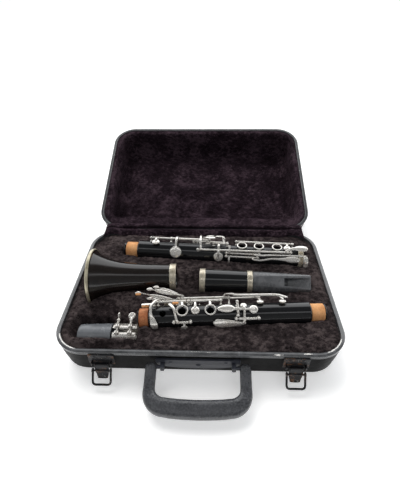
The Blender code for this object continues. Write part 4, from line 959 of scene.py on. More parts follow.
def hinge_flap():
    """The soft strip of lining that runs over the hinge from the base to the lid: two padded rolls with a crease between."""
    half = 149.5
    nx = 220
    inner, turn = CASE_D / 2 - 5.0, CASE_R - 5.0
    flat = CASE_L / 2 - 5.0 - turn
    # The section across the hinge, as height over the distance from front edge to crease.
    roll = [(0.0, 0.0), (0.16, 2.4), (0.36, 4.6), (0.60, 5.9), (0.82, 5.4), (0.95, 4.3), (1.0, 3.9)]
    roll = [np.array(r) for r in spline(roll, 5)]
    crease = PIVOT.y + 0.4
    verts, values, faces = [], [], []
    rows = [(float(t), float(h), 0) for t, h in roll] + [(float(t), float(h), 1) for t, h in roll[-2::-1]]
    for t, h, far in rows:
        for i in range(nx + 1):
            u = -1 + 2 * i / nx
            x = u * half
            over = max(0.0, abs(x) - flat)
            edge = inner - turn + math.sqrt(max(0.0, turn * turn - over * over)) - 3.2
            edge = min(edge, 103.0)
            rise = min(1.0, max(0.0, (abs(x) - 118.0) / 20.0))
            rise = rise * rise * (3 - 2 * rise)
            foot = (40.4 + 4.4 * rise) if not far else (44.9 + 0.4 * rise)
            reach = crease - edge if not far else min(13.2, crease - edge)
            y = crease - reach * (1 - t) if not far else crease + reach * (1 - t)
            span = (1 - 0.42 * rise) * (1.0 if not far else 0.92)
            close = min(1.0, (1 - abs(u)) / 0.035)
            z = foot + (h * span + (1.0 if not far else 0.0) * (4.5 - 4.4 * rise) * t * 0.12) * math.sqrt(max(0.0, close))
            bulk = math.sin(math.pi * min(1.0, t * 0.9 + 0.05))
            swell = tuft(x, y, z, 17, 3.0) * 0.9 + tuft(x, y, z, 6, 5.0) * 0.6
            clump = tuft(x, y * 1.5, z, 3.4, 7.0) * 0.7
            verts.append((x, y, z + (swell + clump) * bulk * close))
            # Pile tone: random, plus painted light where the clump noise raises the pile, and painted shade, darker in
            # a narrow band along the crease.
            values.append(0.5 + clump + 0.3 * tuft(x, y, z, 20, 2.0) - 0.4 * math.exp(-((y - crease) / 1.4) ** 2))
    row = nx + 1
    for k in range(len(rows) - 1):
        for i in range(nx):
            faces.append((k * row + i, k * row + i + 1, (k + 1) * row + i + 1, (k + 1) * row + i))
    geo = Geo().add(verts, faces)
    mesh = geo.mesh("flap", [LIDPLUSH], smooth=None)
    att = mesh.attributes.new("pile_tone_and_shade", "FLOAT", "POINT")
    att.data.foreach_set("value", [float(v) for v in values])
    mesh.transform(Matrix.Scale(MM, 4))
    obj = bpy.data.objects.new("plush_hinge_flap", mesh)
    COL.objects.link(obj)
    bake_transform(obj)
    return obj


flap = hinge_flap()


# ------------------------------------------------------------ handle, latches
front = -CASE_D / 2
HANDLE_PIVOT = Vector((0.0, front - 6.6, HANDLE_Z))
DROOP = math.radians(19.0)


def handle_line():
    half, reach, corner = HANDLE_HALF, HANDLE_REACH, 17.0
    pts = [(-half, 4.2), (-half, 3.2), (-half, 1.0), (-half, -6.0), (-half, -(reach - corner) * 0.5), (-half, -(reach - corner) * 0.8)]
    for i in range(13):
        a = math.pi + math.pi / 2 * i / 12
        pts.append((-half + corner + corner * math.cos(a), -(reach - corner) + corner * math.sin(a)))
    pts += [(-28.0, -reach - 0.8), (-20.0, -reach - 1.4), (-10.0, -reach - 1.8), (0.0, -reach - 2.0)]
    return pts + [(-x, y) for x, y in reversed(pts[:-1])]


line = handle_line()
loops = []
for i, (x, y) in enumerate(line):
    ax, ay = line[min(i + 1, len(line) - 1)]
    bx, by = line[max(i - 1, 0)]
    d = Vector((ax - bx, ay - by, 0)).normalized()
    side = Vector((-d.y, d.x, 0))
    grip = min(1.0, max(0.0, (-y - 20) / 25.0))
    grip = grip * grip * (3 - 2 * grip)
    end = min(1.0, 0.62 + 0.38 * min(1.0, max(0.0, (4.2 - y) / 2.2)))
    w, t = (6.2 + 3.6 * grip) * end, (4.4 + 4.0 * grip) * end
    c = Vector((x, y, 0))
    loop = []
    for k in range(28):
        q = 2 * math.pi * k / 28
        co, si = math.cos(q), math.sin(q)
        loop.append(c + side * w * math.copysign(abs(co) ** 0.7, co) + Vector((0, 0, t * math.copysign(abs(si) ** 0.7, si))))
    loops.append(loop)
tilt = Matrix.Translation(HANDLE_PIVOT) @ Matrix.Rotation(DROOP, 4, "X")
handle = loft(loops)
handle.moved(tilt)
place("handle_moulded_grip", handle, GRIP, WORLD, "handle", ["handle_grip"])

# Handle bracket: an arched plate with two bearing lugs and a domed rivet.
outline = [(-46, -1), (46, -1), (46, -6.5)] + [(46 * math.cos(a), -6.5 - 9.5 * math.sin(a) ** 0.8) for a in (math.pi * k / 40 for k in range(1, 40))] + [(-46, -6.5)]


def plate(points, depths, shrink):
    cx = sum(p[0] for p in points) / len(points)
    cz = sum(p[1] for p in points) / len(points)
    rows = []
    for y, s in zip(depths, shrink):
        rows.append([Vector((cx + (px - cx) * s, y, cz + (pz - cz) * s)) for px, pz in points])
    return rows


rows = plate([(px, pz + 36.0) for px, pz in outline], (front - 0.3, front - 2.0, front - 2.55, front - 2.7), (1.0, 1.0, 0.992, 0.975))
geo = loft(rows)
for side in (-1, 1):
    x0, x1 = sorted((side * 41.0, side * 36.5))
    geo.join(block((x0, front - 9.6, HANDLE_Z - 3.6), (x1, front - 1.5, HANDLE_Z + 3.6), 0.8))
    geo.join(cylinder((side * 40.0, front - 6.6, HANDLE_Z), (side * 47.4, front - 6.6, HANDLE_Z), 2.0, 24))
    geo.join(turned((side * 30.0, front - 2.5, HANDLE_Z + 3.0), (0, -1, 0), [(0, 0), (0, 2.2), (0.5, 1.9), (0.9, 0.9), (1.0, 0)], 20))
geo.join(turned((0, front - 2.5, HANDLE_Z - 1.5), (0, -1, 0), [(0, 0), (0, 3.0), (0.6, 2.7), (1.3, 1.6), (1.55, 0)], 28))
place("handle_bracket_plate", geo, BRACKET, WORLD, "case_base", ["handle_bracket"])


def wire(points, radius, n=12, per=6):
    pts = [Vector(p) for p in spline(points, per)]
    loops = []
    up = Vector((0, 0, 1))
    for i, p in enumerate(pts):
        along = (pts[min(i + 1, len(pts) - 1)] - pts[max(i - 1, 0)]).normalized()
        side_dir = along.cross(up)
        if side_dir.length < 0.05:
            side_dir = along.cross(Vector((1, 0, 0)))
        side_dir.normalize()
        top = side_dir.cross(along)
        loops.append([p + (side_dir * math.cos(t) + top * math.sin(t)) * radius for t in (2 * math.pi * k / n for k in range(n))])
    return loft(loops)


for side, label in ((-1, "left"), (1, "right")):
    cx = side * LATCH_X
    geo = block((cx - 14, front - 2.4, 24.5), (cx + 14, front - 1.35, 41.0), 0.35)
    for e in (-1, 1):
        geo.join(block((cx + e * 10.4 - 0.8, front - 6.4, 25.0), (cx + e * 10.4 + 0.8, front - 2.0, 31.0), 0.5))
        geo.join(turned((cx + e * 11.2, front - 5.0, 28.0), (e, 0, 0), [(0, 0), (0, 1.3), (0.5, 1.1), (0.8, 0)], 18))
        geo.join(turned((cx + e * 7.0, front - 2.3, 37.4), (0, -1, 0), [(0, 0), (0, 2.0), (0.5, 1.7), (0.9, 0.8), (1.0, 0)], 20))
    geo.join(block((cx - 14, front - 3.0, 40.0), (cx + 14, front - 1.35, 41.2), 0.3))
    geo.join(cylinder((cx - 10.2, front - 5.0, 28.0), (cx + 10.2, front - 5.0, 28.0), 0.7, 16))
    obj = place("latch_plate_%s_detail" % label, geo, LATCH, WORLD, "case_base", ["latch_plate_" + label])
    wear_attribute(obj, lambda p, cx=cx: 0.42 if p.z > 38.5 else (0.34 if abs(p.x - cx) > 9 else 0.18))

    # The lever: a pressed channel that rolls over at its free end.
    prof = [(-6.2, 29.6, -3.5), (-7.1, 27.6, -3.3), (-7.5, 24.5, -4.3), (-8.0, 20.5, -5.9), (-8.6, 16.5, -7.0), (-9.7, 12.6, -8.4), (-10.9, 10.7, -9.6)]
    prof = spline(prof, 4)
    loops = []
    for r in prof:
        yo, z, yi = r
        t = (29.6 - z) / 19
        w = 7.6 - 2.0 * max(0.0, t - 0.55) / 0.45
        yi = min(yi, yo + 1.6) if z < 26 else yi
        loops.append([Vector((cx + w * (-1 + 2 * k / 10), front + yo - 0.55 * (1 - (-1 + 2 * k / 10) ** 4), z)) for k in range(11)] + [Vector((cx + w * (1 - 2 * k / 10), front + max(yo + 1.0, yi), z - 0.1)) for k in range(11)])
    lever = loft(loops)
    lever.join(cylinder((cx - 8.6, front - 8.6, 21.5), (cx + 8.6, front - 8.6, 21.5), 1.1, 16))
    lever.join(wire([(cx - 4.9, front - 10.6, 10.9), (cx, front - 10.8, 10.7), (cx + 4.9, front - 10.6, 10.9)], 0.7))
    for e in (-1, 1):
        lever.join(block((cx + e * 6.2 - 0.5, front - 7.6, 24.6), (cx + e * 6.2 + 0.5, front - 3.2, 29.8), 0.3))
    obj = place("latch_lever_%s_detail" % label, lever, LATCH, WORLD, "lever_" + label, ["latch_lever_" + label])
    wear_attribute(obj, lambda p: 0.46 if p.z < 13.5 else (0.36 if p.y < front - 7.9 else 0.2))

    drop = math.radians(-52.0)
    flat = [(-9.9, 0.0), (-9.9, 4.0), (-9.9, 8.0), (-9.9, 12.0), (-9.2, 14.4), (-7.0, 15.6), (-3.0, 15.6), (3.0, 15.6), (7.0, 15.6), (9.2, 14.4), (9.9, 12.0), (9.9, 8.0), (9.9, 4.0), (9.9, 0.0)]
    path = [Vector((cx + x, front - 8.6 - y * math.cos(drop), 21.5 + y * math.sin(drop))) for x, y in flat]
    chain = wire(path, 1.25, 14)
    for e in (-1, 1):
        chain.join(turned((cx + e * 9.9 - 0.9, front - 8.6, 21.5), (1, 0, 0), [(0, 1.45), (0, 2.4), (0.3, 2.7), (1.5, 2.7), (1.8, 2.4), (1.8, 1.45)], 22, closed=True))
    obj = place("latch_loop_%s_detail" % label, chain, LATCH, WORLD, "loop_" + label, ["latch_loop_" + label])
    wear_attribute(obj, lambda p: 0.40)

    strike = block((cx - 9, front - 2.4, BASE_H + 2.0), (cx + 9, front - RIM_PROUD - GAP, BASE_H + 14.0), 0.4)
    strike.join(block((cx - 6, front - 5.6, BASE_H + 9.0), (cx + 6, front - 2.0, BASE_H + 10.8), 0.4))
    strike.join(block((cx - 6, front - 5.6, BASE_H + 9.5), (cx + 6, front - 4.3, BASE_H + 13.4), 0.4))
    for e in (-1, 1):
        strike.join(turned((cx + e * 7.4, front - 2.3, BASE_H + 5.4), (0, -1, 0), [(0, 0), (0, 1.2), (0.4, 1.0), (0.6, 0)], 16))
    obj = place("strike_%s_detail" % label, strike, LATCH, OPEN_LID, "lid", ["strike_" + label])
    wear_attribute(obj, lambda p: 0.3)


# ----------------------------------------------------------------------- bell
def bell_radius(s):
    return 16.2 + 20.6 * math.exp(-s / 22.0) + 0.5 * (1 - s / BELL_L)


outer = [(3.6 + (99.6 - 3.6) * (k / 40) ** 1.3, 0) for k in range(41)]
outer = [(s, bell_radius(s)) for s, _ in outer]
inner = [(108.0, 11.8), (107.6, 11.6), (90.0, 11.6), (90.0, 11.0), (80, 11.5), (70, 12.2), (60, 13.3), (50, 14.6), (42, 16.0), (34, 18.0), (28, 20.0), (22, 22.6), (16, 25.7), (10, 29.2), (5, 32.4), (0.4, 35.3)]
bell_geo = lathe([(0.4, 35.9), (3.3, 35.9)] + outer + [(99.6, 15.0), (108.0, 15.0)] + inner, 112)
place("bell_turned_body", bell_geo, BELLMAT, BELL, "bell", ["bell_body"])
ring = [(s, r - 2.1) for s, r in ((-0.2, 38.2), (-0.6, 38.35), (-0.62, 38.7), (-0.2, 39.1), (0.5, 39.35), (1.3, 39.5), (2.2, 39.5), (2.9, 39.2), (3.2, 38.7), (3.2, 38.3))]
place("bell_rim_band", lathe(ring, 128), BELLRING, BELL, "bell", ["bell_rim_ring"])


def grooved(s0, s1, r0, r1, inner_r, grooves, n=84):
    """A ferrule with softened edges and turned grooves."""
    prof = [(s0, inner_r), (s0, r0 - 0.4), (s0 + 0.4, r0)]
    for g, half in grooves:
        s = s0 + (s1 - s0) * g
        r = r0 + (r1 - r0) * g
        prof += [(s - half, r), (s - half * 0.55, r - 0.42), (s + half * 0.55, r - 0.42), (s + half, r)]
    prof += [(s1 - 0.4, r1), (s1, r1 - 0.4), (s1, inner_r)]
    return lathe(prof, n)


place("bell_socket_ferrule", grooved(99.9, 107.9, 17.2, 17.2, 15.3, ((0.30, 0.45), (0.52, 0.45), (0.74, 0.45))), RINGMAT, BELL, "bell", ["bell_socket_ring"])

# --------------------------------------------------------- barrel, mouthpiece
prof = [(0.2, 11.3), (0.2, 14.6), (7.6, 14.6), (7.6, 15.4)] + [(7.6 + 52.6 * k / 16, 15.5 - 1.3 * k / 16 + 0.12 * math.sin(math.pi * k / 16)) for k in range(1, 17)] + [(60.2, 13.3), (66.8, 13.3), (66.8, 11.5), (66.5, 11.3), (49.5, 11.3), (49.5, BORE_R), (18.5, BORE_R), (18.5, 11.3)]
place("barrel_turned_body", lathe(prof, 84), EBONITE, BARREL, "barrel", ["barrel_body"])
place("barrel_ferrule_lower", grooved(0.0, 7.3, 16.0, 16.0, 14.9, ((0.28, 0.4), (0.56, 0.4))), RINGMAT, BARREL, "barrel", ["barrel_ring_lower"])
place("barrel_ferrule_upper", grooved(60.5, 67.0, 14.7, 14.7, 13.6, ((0.30, 0.38), (0.62, 0.38))), RINGMAT, BARREL, "barrel", ["barrel_ring_upper"])

mp0 = BARREL_L + GAP
blank = lathe([(-MOUTH_TENON, 0.0), (-MOUTH_TENON, 10.1), (-MOUTH_TENON + 0.3, 10.4), (-12.9, 10.4), (-12.9, 9.3), (-2.6, 9.3), (-2.6, 10.4), (0, 10.4), (0, 12.8), (0.5, 13.3), (2.0, 13.8), (16, 13.5), (30, 12.9), (50, 12.1), (MOUTH_L - 0.6, 11.4), (MOUTH_L, 10.9), (MOUTH_L, 0.0)], 96, closed=False)
table = loft([[Vector((x, y, z)) for y, z in ((-20, z0), (20, z0), (20, 30), (-20, 30))] for x, z0 in ((4.0, 12.9), (MOUTH_L + 5, 7.0))])
beak = loft([[Vector((x, y, z)) for y, z in ((-20, -30), (20, -30), (20, z1), (-20, z1))] for x, z1 in ((34.0, -13.6), (MOUTH_L + 5, 7.4))])
chamber = lathe([(-MOUTH_TENON - 5, 0), (-MOUTH_TENON - 5, 7.0), (46, 7.0), (46, 0)], 48, closed=False)
window = loft(
    [
        [Vector((39.5, -4.8, -4.5)), Vector((39.5, 4.8, -4.5)), Vector((39.5, 5.2, 20)), Vector((39.5, -5.2, 20))],
        [Vector((48, -5.0, -4.0)), Vector((48, 5.0, -4.0)), Vector((48, 5.4, 20)), Vector((48, -5.4, 20))],
        [Vector((MOUTH_L - 1.4, -6.0, 6.9)), Vector((MOUTH_L - 1.4, 6.0, 6.9)), Vector((MOUTH_L - 1.4, 6.2, 20)), Vector((MOUTH_L - 1.4, -6.2, 20))],
    ]
)
mouth = subtract(blank, [table, beak, chamber, window])
mouth.transform(Matrix.Translation((mp0, 0, 0)))
place("mouthpiece_shaped_body", mouth, RUBBER, BARREL, "mouthpiece", ["mouthpiece_body"])


def cork_sleeve(s0, s1, r_in, r_out, n=64):
    """A cork wrap with worn, rounded shoulders."""
    prof = [(s0, r_in), (s0, r_out - 0.5), (s0 + 0.35, r_out - 0.1)]
    prof += [(s0 + (s1 - s0) * k / 10, r_out + 0.06 * math.sin(k * 2.1)) for k in range(1, 10)]
    prof += [(s1 - 0.35, r_out - 0.1), (s1, r_out - 0.5), (s1, r_in)]
    return lathe(prof, n)


place("mouthpiece_cork", cork_sleeve(mp0 - 12.6, mp0 - 2.9, 9.6, 11.0), CORK, BARREL, "mouthpiece", ["mouthpiece_tenon_cork"])

# -------------------------------------------------------------- cap, ligature
cap_profile = spline([(0, 0.0), (0.0, 8.0), (0.2, 11.4), (1.1, 13.2), (3.4, 14.0), (10, 14.4), (26, 14.9), (CAP_L - 3.4, CAP_R - 0.1)], 5)
cap_profile = [(p[0], max(0.0, p[1])) for p in cap_profile] + [(CAP_L - 3.2, CAP_R + 0.05), (CAP_L - 0.4, CAP_R), (CAP_L, CAP_R - 0.35), (CAP_L, CAP_R - 1.3), (CAP_L - 0.3, CAP_R - 1.7), (26, 13.2), (9, 12.0), (4.4, 9.4), (2.6, 6.0), (2.6, 0)]
place("cap_moulded", lathe(cap_profile, 84, closed=False), CAPMAT, CAP, "cap", ["mouthpiece_cap"])

slit = 10.0
band = lathe([(0, LIG_R - 0.9), (0, LIG_R + 0.15), (0.8, LIG_R + 0.3), (1.6, LIG_R), (LIG_L / 2, LIG_R - 0.25), (LIG_L - 1.6, LIG_R - 0.5), (LIG_L - 0.8, LIG_R - 0.2), (LIG_L, LIG_R - 0.35), (LIG_L, LIG_R - 1.4)], 96, arc=(slit, 360 - slit))
for side in (-1, 1):
    y = side * 4.2
    band.join(block((0.4, y - 1.9, 12.2), (LIG_L - 0.4, y + 1.1, 15.2), 0.7))
    for x in (5.5, 20.5):
        band.join(turned((x, side * 4.2 - 1.7, 16.6), (0, 1, 0), [(0, 1.45), (0, 2.4), (0.3, 2.7), (3.1, 2.7), (3.4, 2.4), (3.4, 1.45)], 26, closed=True))
        band.join(block((x - 2.3, side * 4.2 - 1.4, 13.0), (x + 2.3, side * 4.2 + 1.4, 15.3), 0.4))
# Pressed rails on the far side, where the band grips the reed.
for th in (150, 210, 90, 270):
    p = polar(0, th, LIG_R - 0.35)
    band.join(ribbon([(1.5, th, LIG_R - 0.15, 2.4, 1.0), (13, th, LIG_R - 0.35, 2.4, 1.0), (LIG_L - 1.5, th, LIG_R - 0.6, 2.4, 1.0)]))
place("ligature_pressed_band", band, NICKEL, LIGA, "ligature", ["ligature_band"])
for i, x in enumerate((5.5, 20.5)):
    spin = math.radians(90 if i == 0 else 0)
    geo = turned((x, -7.4, 16.6), (0, 1, 0), [(0, 0), (0, 0.9), (0.3, 1.2)] + [p for k in range(14) for p in ((0.6 + k * 0.9, 1.2), (1.05 + k * 0.9, 0.95))] + [(13.6, 1.2), (17.6, 1.25), (18.3, 2.0), (19.0, 2.25), (20.0, 2.1), (20.7, 1.4), (22.4, 1.0), (22.8, 0)], 24)
    u, v = Vector((math.cos(spin), 0, math.sin(spin))), Vector((-math.sin(spin), 0, math.cos(spin)))
    c = Vector((x, 17.9, 16.6))
    geo.join(turned(c - v * 0.95, v, [(0, 0), (0.25, 1.6), (0.1, 2.6), (0, 3.4), (0.3, 4.0), (0.95, 4.25), (1.6, 4.0), (1.9, 3.4), (1.8, 2.6), (1.65, 1.6), (1.9, 0)], 36))
    place("ligature_thumbscrew_%d" % (i + 1), geo, NICKEL, LIGA, "thumbscrew_%d" % (i + 1), ["ligature_screw_%d" % (i + 1)])


# ------------------------------------------------------------- key furniture
def post(s, theta, radius, body_r, ball_r=1.95):
    """A turned pillar: a flange screwed into the body, a waisted stem and a ball that takes the pivot."""
    out = polar(0, theta, 1.0)
    length = radius - body_r
    prof = [(-1.2, 0), (-1.2, 1.7), (0.15, 1.95), (0.55, 1.75), (0.9, 1.15), (length * 0.5, 0.92), (max(0.95, length - 1.9), 1.05), (max(1.0, length - 1.6), 1.3)]
    geo = turned(polar(s, theta, body_r), out, prof + [(max(1.05, length - 1.5), 0)], 20)
    geo.join(ball(polar(s, theta, radius), ball_r, 20))
    # The pivot screw's slotted head, on the side away from the rod's own end.
    for e in (-1, 1):
        geo.join(turned(polar(s, theta, radius) + Vector((e * (ball_r - 0.25), 0, 0)), (e, 0, 0), [(0, 0), (0, 0.75), (0.35, 0.62), (0.35, 0.12), (0.18, 0.1), (0.18, 0)], 14, mat=1))
    return geo


def rod(s0, s1, theta, radius, r=1.4):
    """A hinge tube with a collar at each end and a fine joint line near them."""
    prof = [(0, 0), (0, r - 0.2), (0.15, r + 0.12), (1.5, r + 0.12), (1.62, r - 0.12), (1.78, r - 0.12), (1.9, r)]
    length = s1 - s0
    prof += [(length - x, y) for x, y in reversed(prof)]
    return turned(polar(s0, theta, radius), (1, 0, 0), prof, 22)


def cup(s, theta, radius, r, h=2.6):
    """A pad cup: a thin rim, a stepped shoulder and a shallow dome with a centre boss; the pad shows under it."""
    d = polar(0, theta, 1.0)
    low = polar(s, theta, radius) - d * h * 0.5
    dome = [(0.55, 0), (0.55, r * 0.93), (0.62, r), (h * 0.45, r), (h * 0.62, r * 0.93), (h * 0.72, r * 0.86), (h * 0.86, r * 0.62), (h * 0.96, r * 0.34), (h * 0.99, r * 0.2), (h * 1.06, r * 0.16), (h * 1.08, 0)]
    geo = turned(low, d, dome, 36)
    geo.join(turned(low, d, [(-0.25, 0), (-0.25, r * 0.78), (-0.1, r * 0.88), (0.6, r * 0.9), (0.6, 0)], 32, mat=1))
    return geo


def ring_key(s, theta, radius, r_out, r_in, h=1.7):
    """An open finger ring with a rounded section."""
    d = polar(0, theta, 1.0)
    r_in += 0.5
    mid, half = (r_out + r_in) / 2, (r_out - r_in) / 2
    prof = []
    for k in range(14):
        q = 2 * math.pi * k / 14
        c, si = math.cos(q), math.sin(q)
        prof.append((h / 2 + h / 2 * math.copysign(abs(si) ** 0.7, si), mid + half * math.copysign(abs(c) ** 0.7, c)))
    return turned(polar(s, theta, radius) - d * h * 0.5, d, prof, 52, closed=True)


def touch(c, axis, normal, a, b, h):
    """An oval finger touch, long along axis, a little fuller at one end."""
    rows = 14
    x = Vector(axis).normalized()
    z = (Vector(normal) - x * Vector(normal).dot(x)).normalized()
    y = z.cross(x)
    geo = lathe([(-1, 0)] + [(-math.cos(math.pi * i / rows), math.sin(math.pi * i / rows)) for i in range(1, rows)] + [(1, 0)], 28, closed=False)
    geo.v = [Vector((p.x, p.y * (1 + 0.16 * p.x), p.z)) for p in geo.v]
    return geo.moved(Matrix.Translation(Vector(c)) @ Matrix((x * a, y * b, z * h)).transposed().to_4x4())


def tube_body(length, radius, taper, left, right, n=80):
    """A joint's body: tenons at the ends given as (depth, cork start, cork end), or a socket."""
    prof = []
    l_len, c0, c1 = left
    prof += [(0, BORE_R), (0, 9.9), (0.4, 10.3), (c0, 10.3), (c0, 9.4), (c1, 9.4), (c1, 10.3), (l_len, 10.3), (l_len, radius - 0.6), (l_len + 0.7, radius)]
    if right[0] == "tenon":
        _, r_len, d0, d1 = right
        e = length - r_len
        prof += [(e - 0.7, taper), (e, taper - 0.6), (e, 10.1), (d0, 10.1), (d0, 9.2), (d1, 9.2), (d1, 10.1), (length - 0.4, 10.1), (length, 9.7), (length, BORE_R)]
    else:
        _, ring_w, depth = right
        a, b = length - ring_w - GAP - 18, length - ring_w - GAP
        prof += [(a + (b - a) * k / 8, taper + 1.3 * (3 * (k / 8) ** 2 - 2 * (k / 8) ** 3)) for k in range(9)]
        prof += [(b, taper + 0.2), (length, taper + 0.2), (length, 11.6), (length - 0.3, 11.3), (length - depth, 11.3), (length - depth, BORE_R)]
    return lathe(prof, n)


def chimney(s, theta, body_r, r_out, top):
    """The raised ring round a finger hole."""
    low = polar(s, theta, body_r - 2.0)
    h = top - body_r + 2.0
    return turned(low, polar(0, theta, 1.0), [(0, 0), (0, r_out + 0.5), (h - 1.4, r_out + 0.35), (h - 0.5, r_out), (h, r_out - 0.35), (h, 0)], 40)


def hole(s, theta, r, top=22.0):
    return turned(polar(s, theta, 4.0), polar(0, theta, 1.0), [(0, 0), (0, r), (top - 4.0, r), (top - 4.0, 0)], 40)


def cork_pad(s, theta, radius, a, b, h):
    """A small cork bumper glued under a touch."""
    d = polar(0, theta, 1.0)
    c = polar(s, theta, radius)
    _, u, v = basis(d, (1, 0, 0))
    loops = []
    for z, k in ((0, 0.9), (h * 0.2, 1.0), (h * 0.8, 1.0), (h, 0.9)):
        loops.append([c + d * (z - h / 2) + Vector((1, 0, 0)) * x * a * k + u * y * b * k for x, y in ((-1, -1), (1, -1), (1, 1), (-1, 1))])
    return loft(loops, mat=2)


def blade(p, q, b=2.5, h=0.75, face=(0, -0.15, 1)):
    """A long flat spatula between two points, its face turned up."""
    p, q = Vector(p), Vector(q)
    return touch((p + q) / 2, p - q, face, (p - q).length / 2 * 1.04, b, h)


KEY_MATS = [NICKEL, PAD, CORK]


def key(name, section, parts):
    geo = Geo()
    for part in parts:
        geo.join(part)
    return place(name + "_finished", geo, KEY_MATS, section, "key_" + name, [name])


def joined_body(name, geo, extras, holes, mat, section, body, node):
    """A turned body with its raised chimneys, bored through at each finger hole."""
    base = bpy.data.objects.new("a", geo.mesh("a", ()))
    COL.objects.link(base)
    helpers = []
    for extra, op in [(e, "UNION") for e in extras] + [(h, "DIFFERENCE") for h in holes]:
        other = bpy.data.objects.new("b", extra.mesh("b", (), None))
        COL.objects.link(other)
        mod = base.modifiers.new("m", "BOOLEAN")
        mod.solver, mod.operation, mod.object = "EXACT", op, other
        helpers.append(other)
    bpy.context.view_layer.update()
    mesh = bpy.data.meshes.new_from_object(base.evaluated_get(bpy.context.evaluated_depsgraph_get()))
    for obj in [base] + helpers:
        bpy.data.objects.remove(obj)
    mesh.shade_smooth()
    mesh.set_sharp_from_angle(angle=math.radians(38))
    return place(name, mesh, mat, section, body, [node])


# ---- upper joint ----
UB = tube_body(UPPER_L, UPPER_R, UPPER_R - 0.4, (13.4, 1.4, 12.8), ("tenon", 18.6, UPPER_L - 17.8, UPPER_L - 1.6))
joined_body(
    "upper_joint_turned",
    UB,
    [chimney(52.5, 0, UPPER_R, 5.0, 15.4), chimney(85.0, 0, UPPER_R, 4.6, 15.4), chimney(85.0, 180, UPPER_R, 4.6, 15.6)],
    [hole(29.9, -6, 3.8), hole(52.5, 0, 3.9), hole(85.0, 0, 3.6), hole(85.0, 180, 3.4)],
    EBONITE, UPPER, "upper_joint", "upper_joint_body",
)
place("upper_joint_cork_lower", cork_sleeve(1.7, 12.5, 9.7, 11.1), CORK_RED, UPPER, "upper_joint", ["upper_lower_tenon_cork"])
place("upper_joint_cork_top", cork_sleeve(UPPER_L - 17.5, UPPER_L - 1.9, 9.5, 11.0), CORK, UPPER, "upper_joint", ["upper_top_tenon_cork"])

RT, RR = 54.0, 18.4  # the ring keys' rod: angle and radius
UPOSTS = [
    (19.5, RT, RR), (59.8, RT, RR), (98.0, RT, RR),
    (23.6, 72, 18.0), (38.6, 72, 18.0),
    (43.0, -46, 17.0), (61.9, -46, 17.0),
    (114.6, -38, 17.4), (140.0, -38, 17.4),
    (48.0, 66, 21.6), (108.0, 66, 21.6), (172.0, 76, 19.4),
    (46.0, 82, 21.2), (144.6, 82, 21.2),
    (40.8, 96, 18.4), (62.8, 96, 18.4),
    (30.6, 112, 18.4), (73.0, 112, 18.4),
    (74.0, 150, 18.4), (99.0, 150, 18.4),
]


def posts_piece(name, rows, radius, section, body, extra=()):
    geo = Geo()
    for s, theta, r in rows:
        geo.join(post(s, theta, r, radius))
    for part in extra:
        geo.join(part)
    place(name, geo, [NICKEL, STEEL], section, body)


side_posts = []
for s, y, z in ((116.5, 9.9, 17.2), (116.5, -7.9, 17.2), (140.0, 6.4, -17.2), (140.0, -6.4, -17.2)):
    side_posts.append((s, math.degrees(math.atan2(y, z)), math.hypot(y, z)))
posts_piece("upper_joint_posts", UPOSTS, UPPER_R, UPPER, "upper_joint", [post(s, th, r, UPPER_R, 1.6) for s, th, r in side_posts])

# Ring key for the lower hand-hole with the bridge arm over the tenon.
key(
    "upper_ring_key_lower",
    UPPER,
    [
        rod(21.9, 57.4, RT, RR),
        ring_key(52.5, 0, 17.7, 7.1, 4.9),
        ribbon([(52.5, 18, 18.0, 3.0, 1.3), (52.5, 36, 19.0, 2.6, 1.3), (52.5, RT, RR, 2.6, 1.3)]),
        ribbon([(23.6, RT, RR, 2.4, 1.3), (21.8, 40, 19.4, 2.6, 1.3), (17.0, 31, 19.2, 3.2, 1.3), (9.0, 31, 18.9, 3.2, 1.1), (5.8, 31, 18.8, 2.8, 1.0)]),
        cork_pad(9.8, 28, 17.4, 4.2, 1.9, 2.0),
        cork_pad(44.4, 44, 17.0, 3.6, 1.4, 1.8),
    ],
)
key(
    "upper_ring_key_middle",
    UPPER,
    [
        rod(62.2, 95.6, RT, RR),
        ring_key(85.0, 0, 17.7, 6.8, 4.6),
        ribbon([(85.0, 17.5, 18.0, 3.0, 1.3), (85.0, 36, 19.0, 2.6, 1.3), (85.0, RT, RR, 2.6, 1.3)]),
        cup(67.6, 0, 17.6, 4.9),
        ribbon([(67.6, 8, 18.8, 3.0, 1.2), (67.6, 30, 19.6, 2.2, 1.2), (67.6, RT, RR, 2.4, 1.2)]),
    ],
)
key(
    "c_sharp_lever",
    UPPER,
    [
        rod(26.0, 36.2, 72, 18.0),
        cup(33.5, 92, 17.2, 3.4, 2.2),
        ribbon([(33.0, 72, 18.4, 2.4, 1.2), (33.4, 82, 18.7, 2.4, 1.2), (33.5, 91, 18.2, 2.4, 1.2)]),
        ribbon([(27.5, 72, 18.3, 2.6, 1.3), (26.5, 62, 21.6, 2.6, 1.3), (22.0, 40, 22.3, 2.6, 1.3), (17.0, 14, 20.8, 2.8, 1.3), (17.2, -14, 19.6, 3.4, 1.3), (19.2, -34, 19.6, 6.6, 1.4), (20.6, -52, 19.2, 8.4, 1.4), (21.4, -66, 18.0, 6.0, 1.2)]),
    ],
)
key(
    "sliver_key",
    UPPER,
    [
        rod(45.4, 59.5, -46, 17.0),
        ribbon([(47.6, -46, 17.2, 3.6, 1.6), (45.6, -30, 18.4, 2.6, 1.3), (44.0, -8, 18.6, 2.6, 1.3), (42.2, 10, 18.6, 3.0, 1.3), (38.4, 27, 18.6, 3.8, 1.3), (37.2, 31, 18.4, 2.6, 1.3)]),
        cup(54.6, -74, 17.2, 4.2, 2.2),
        ribbon([(54.6, -46, 17.2, 2.6, 1.3), (54.6, -60, 18.4, 2.6, 1.3), (54.6, -73, 18.0, 2.6, 1.3)]),
    ],
)
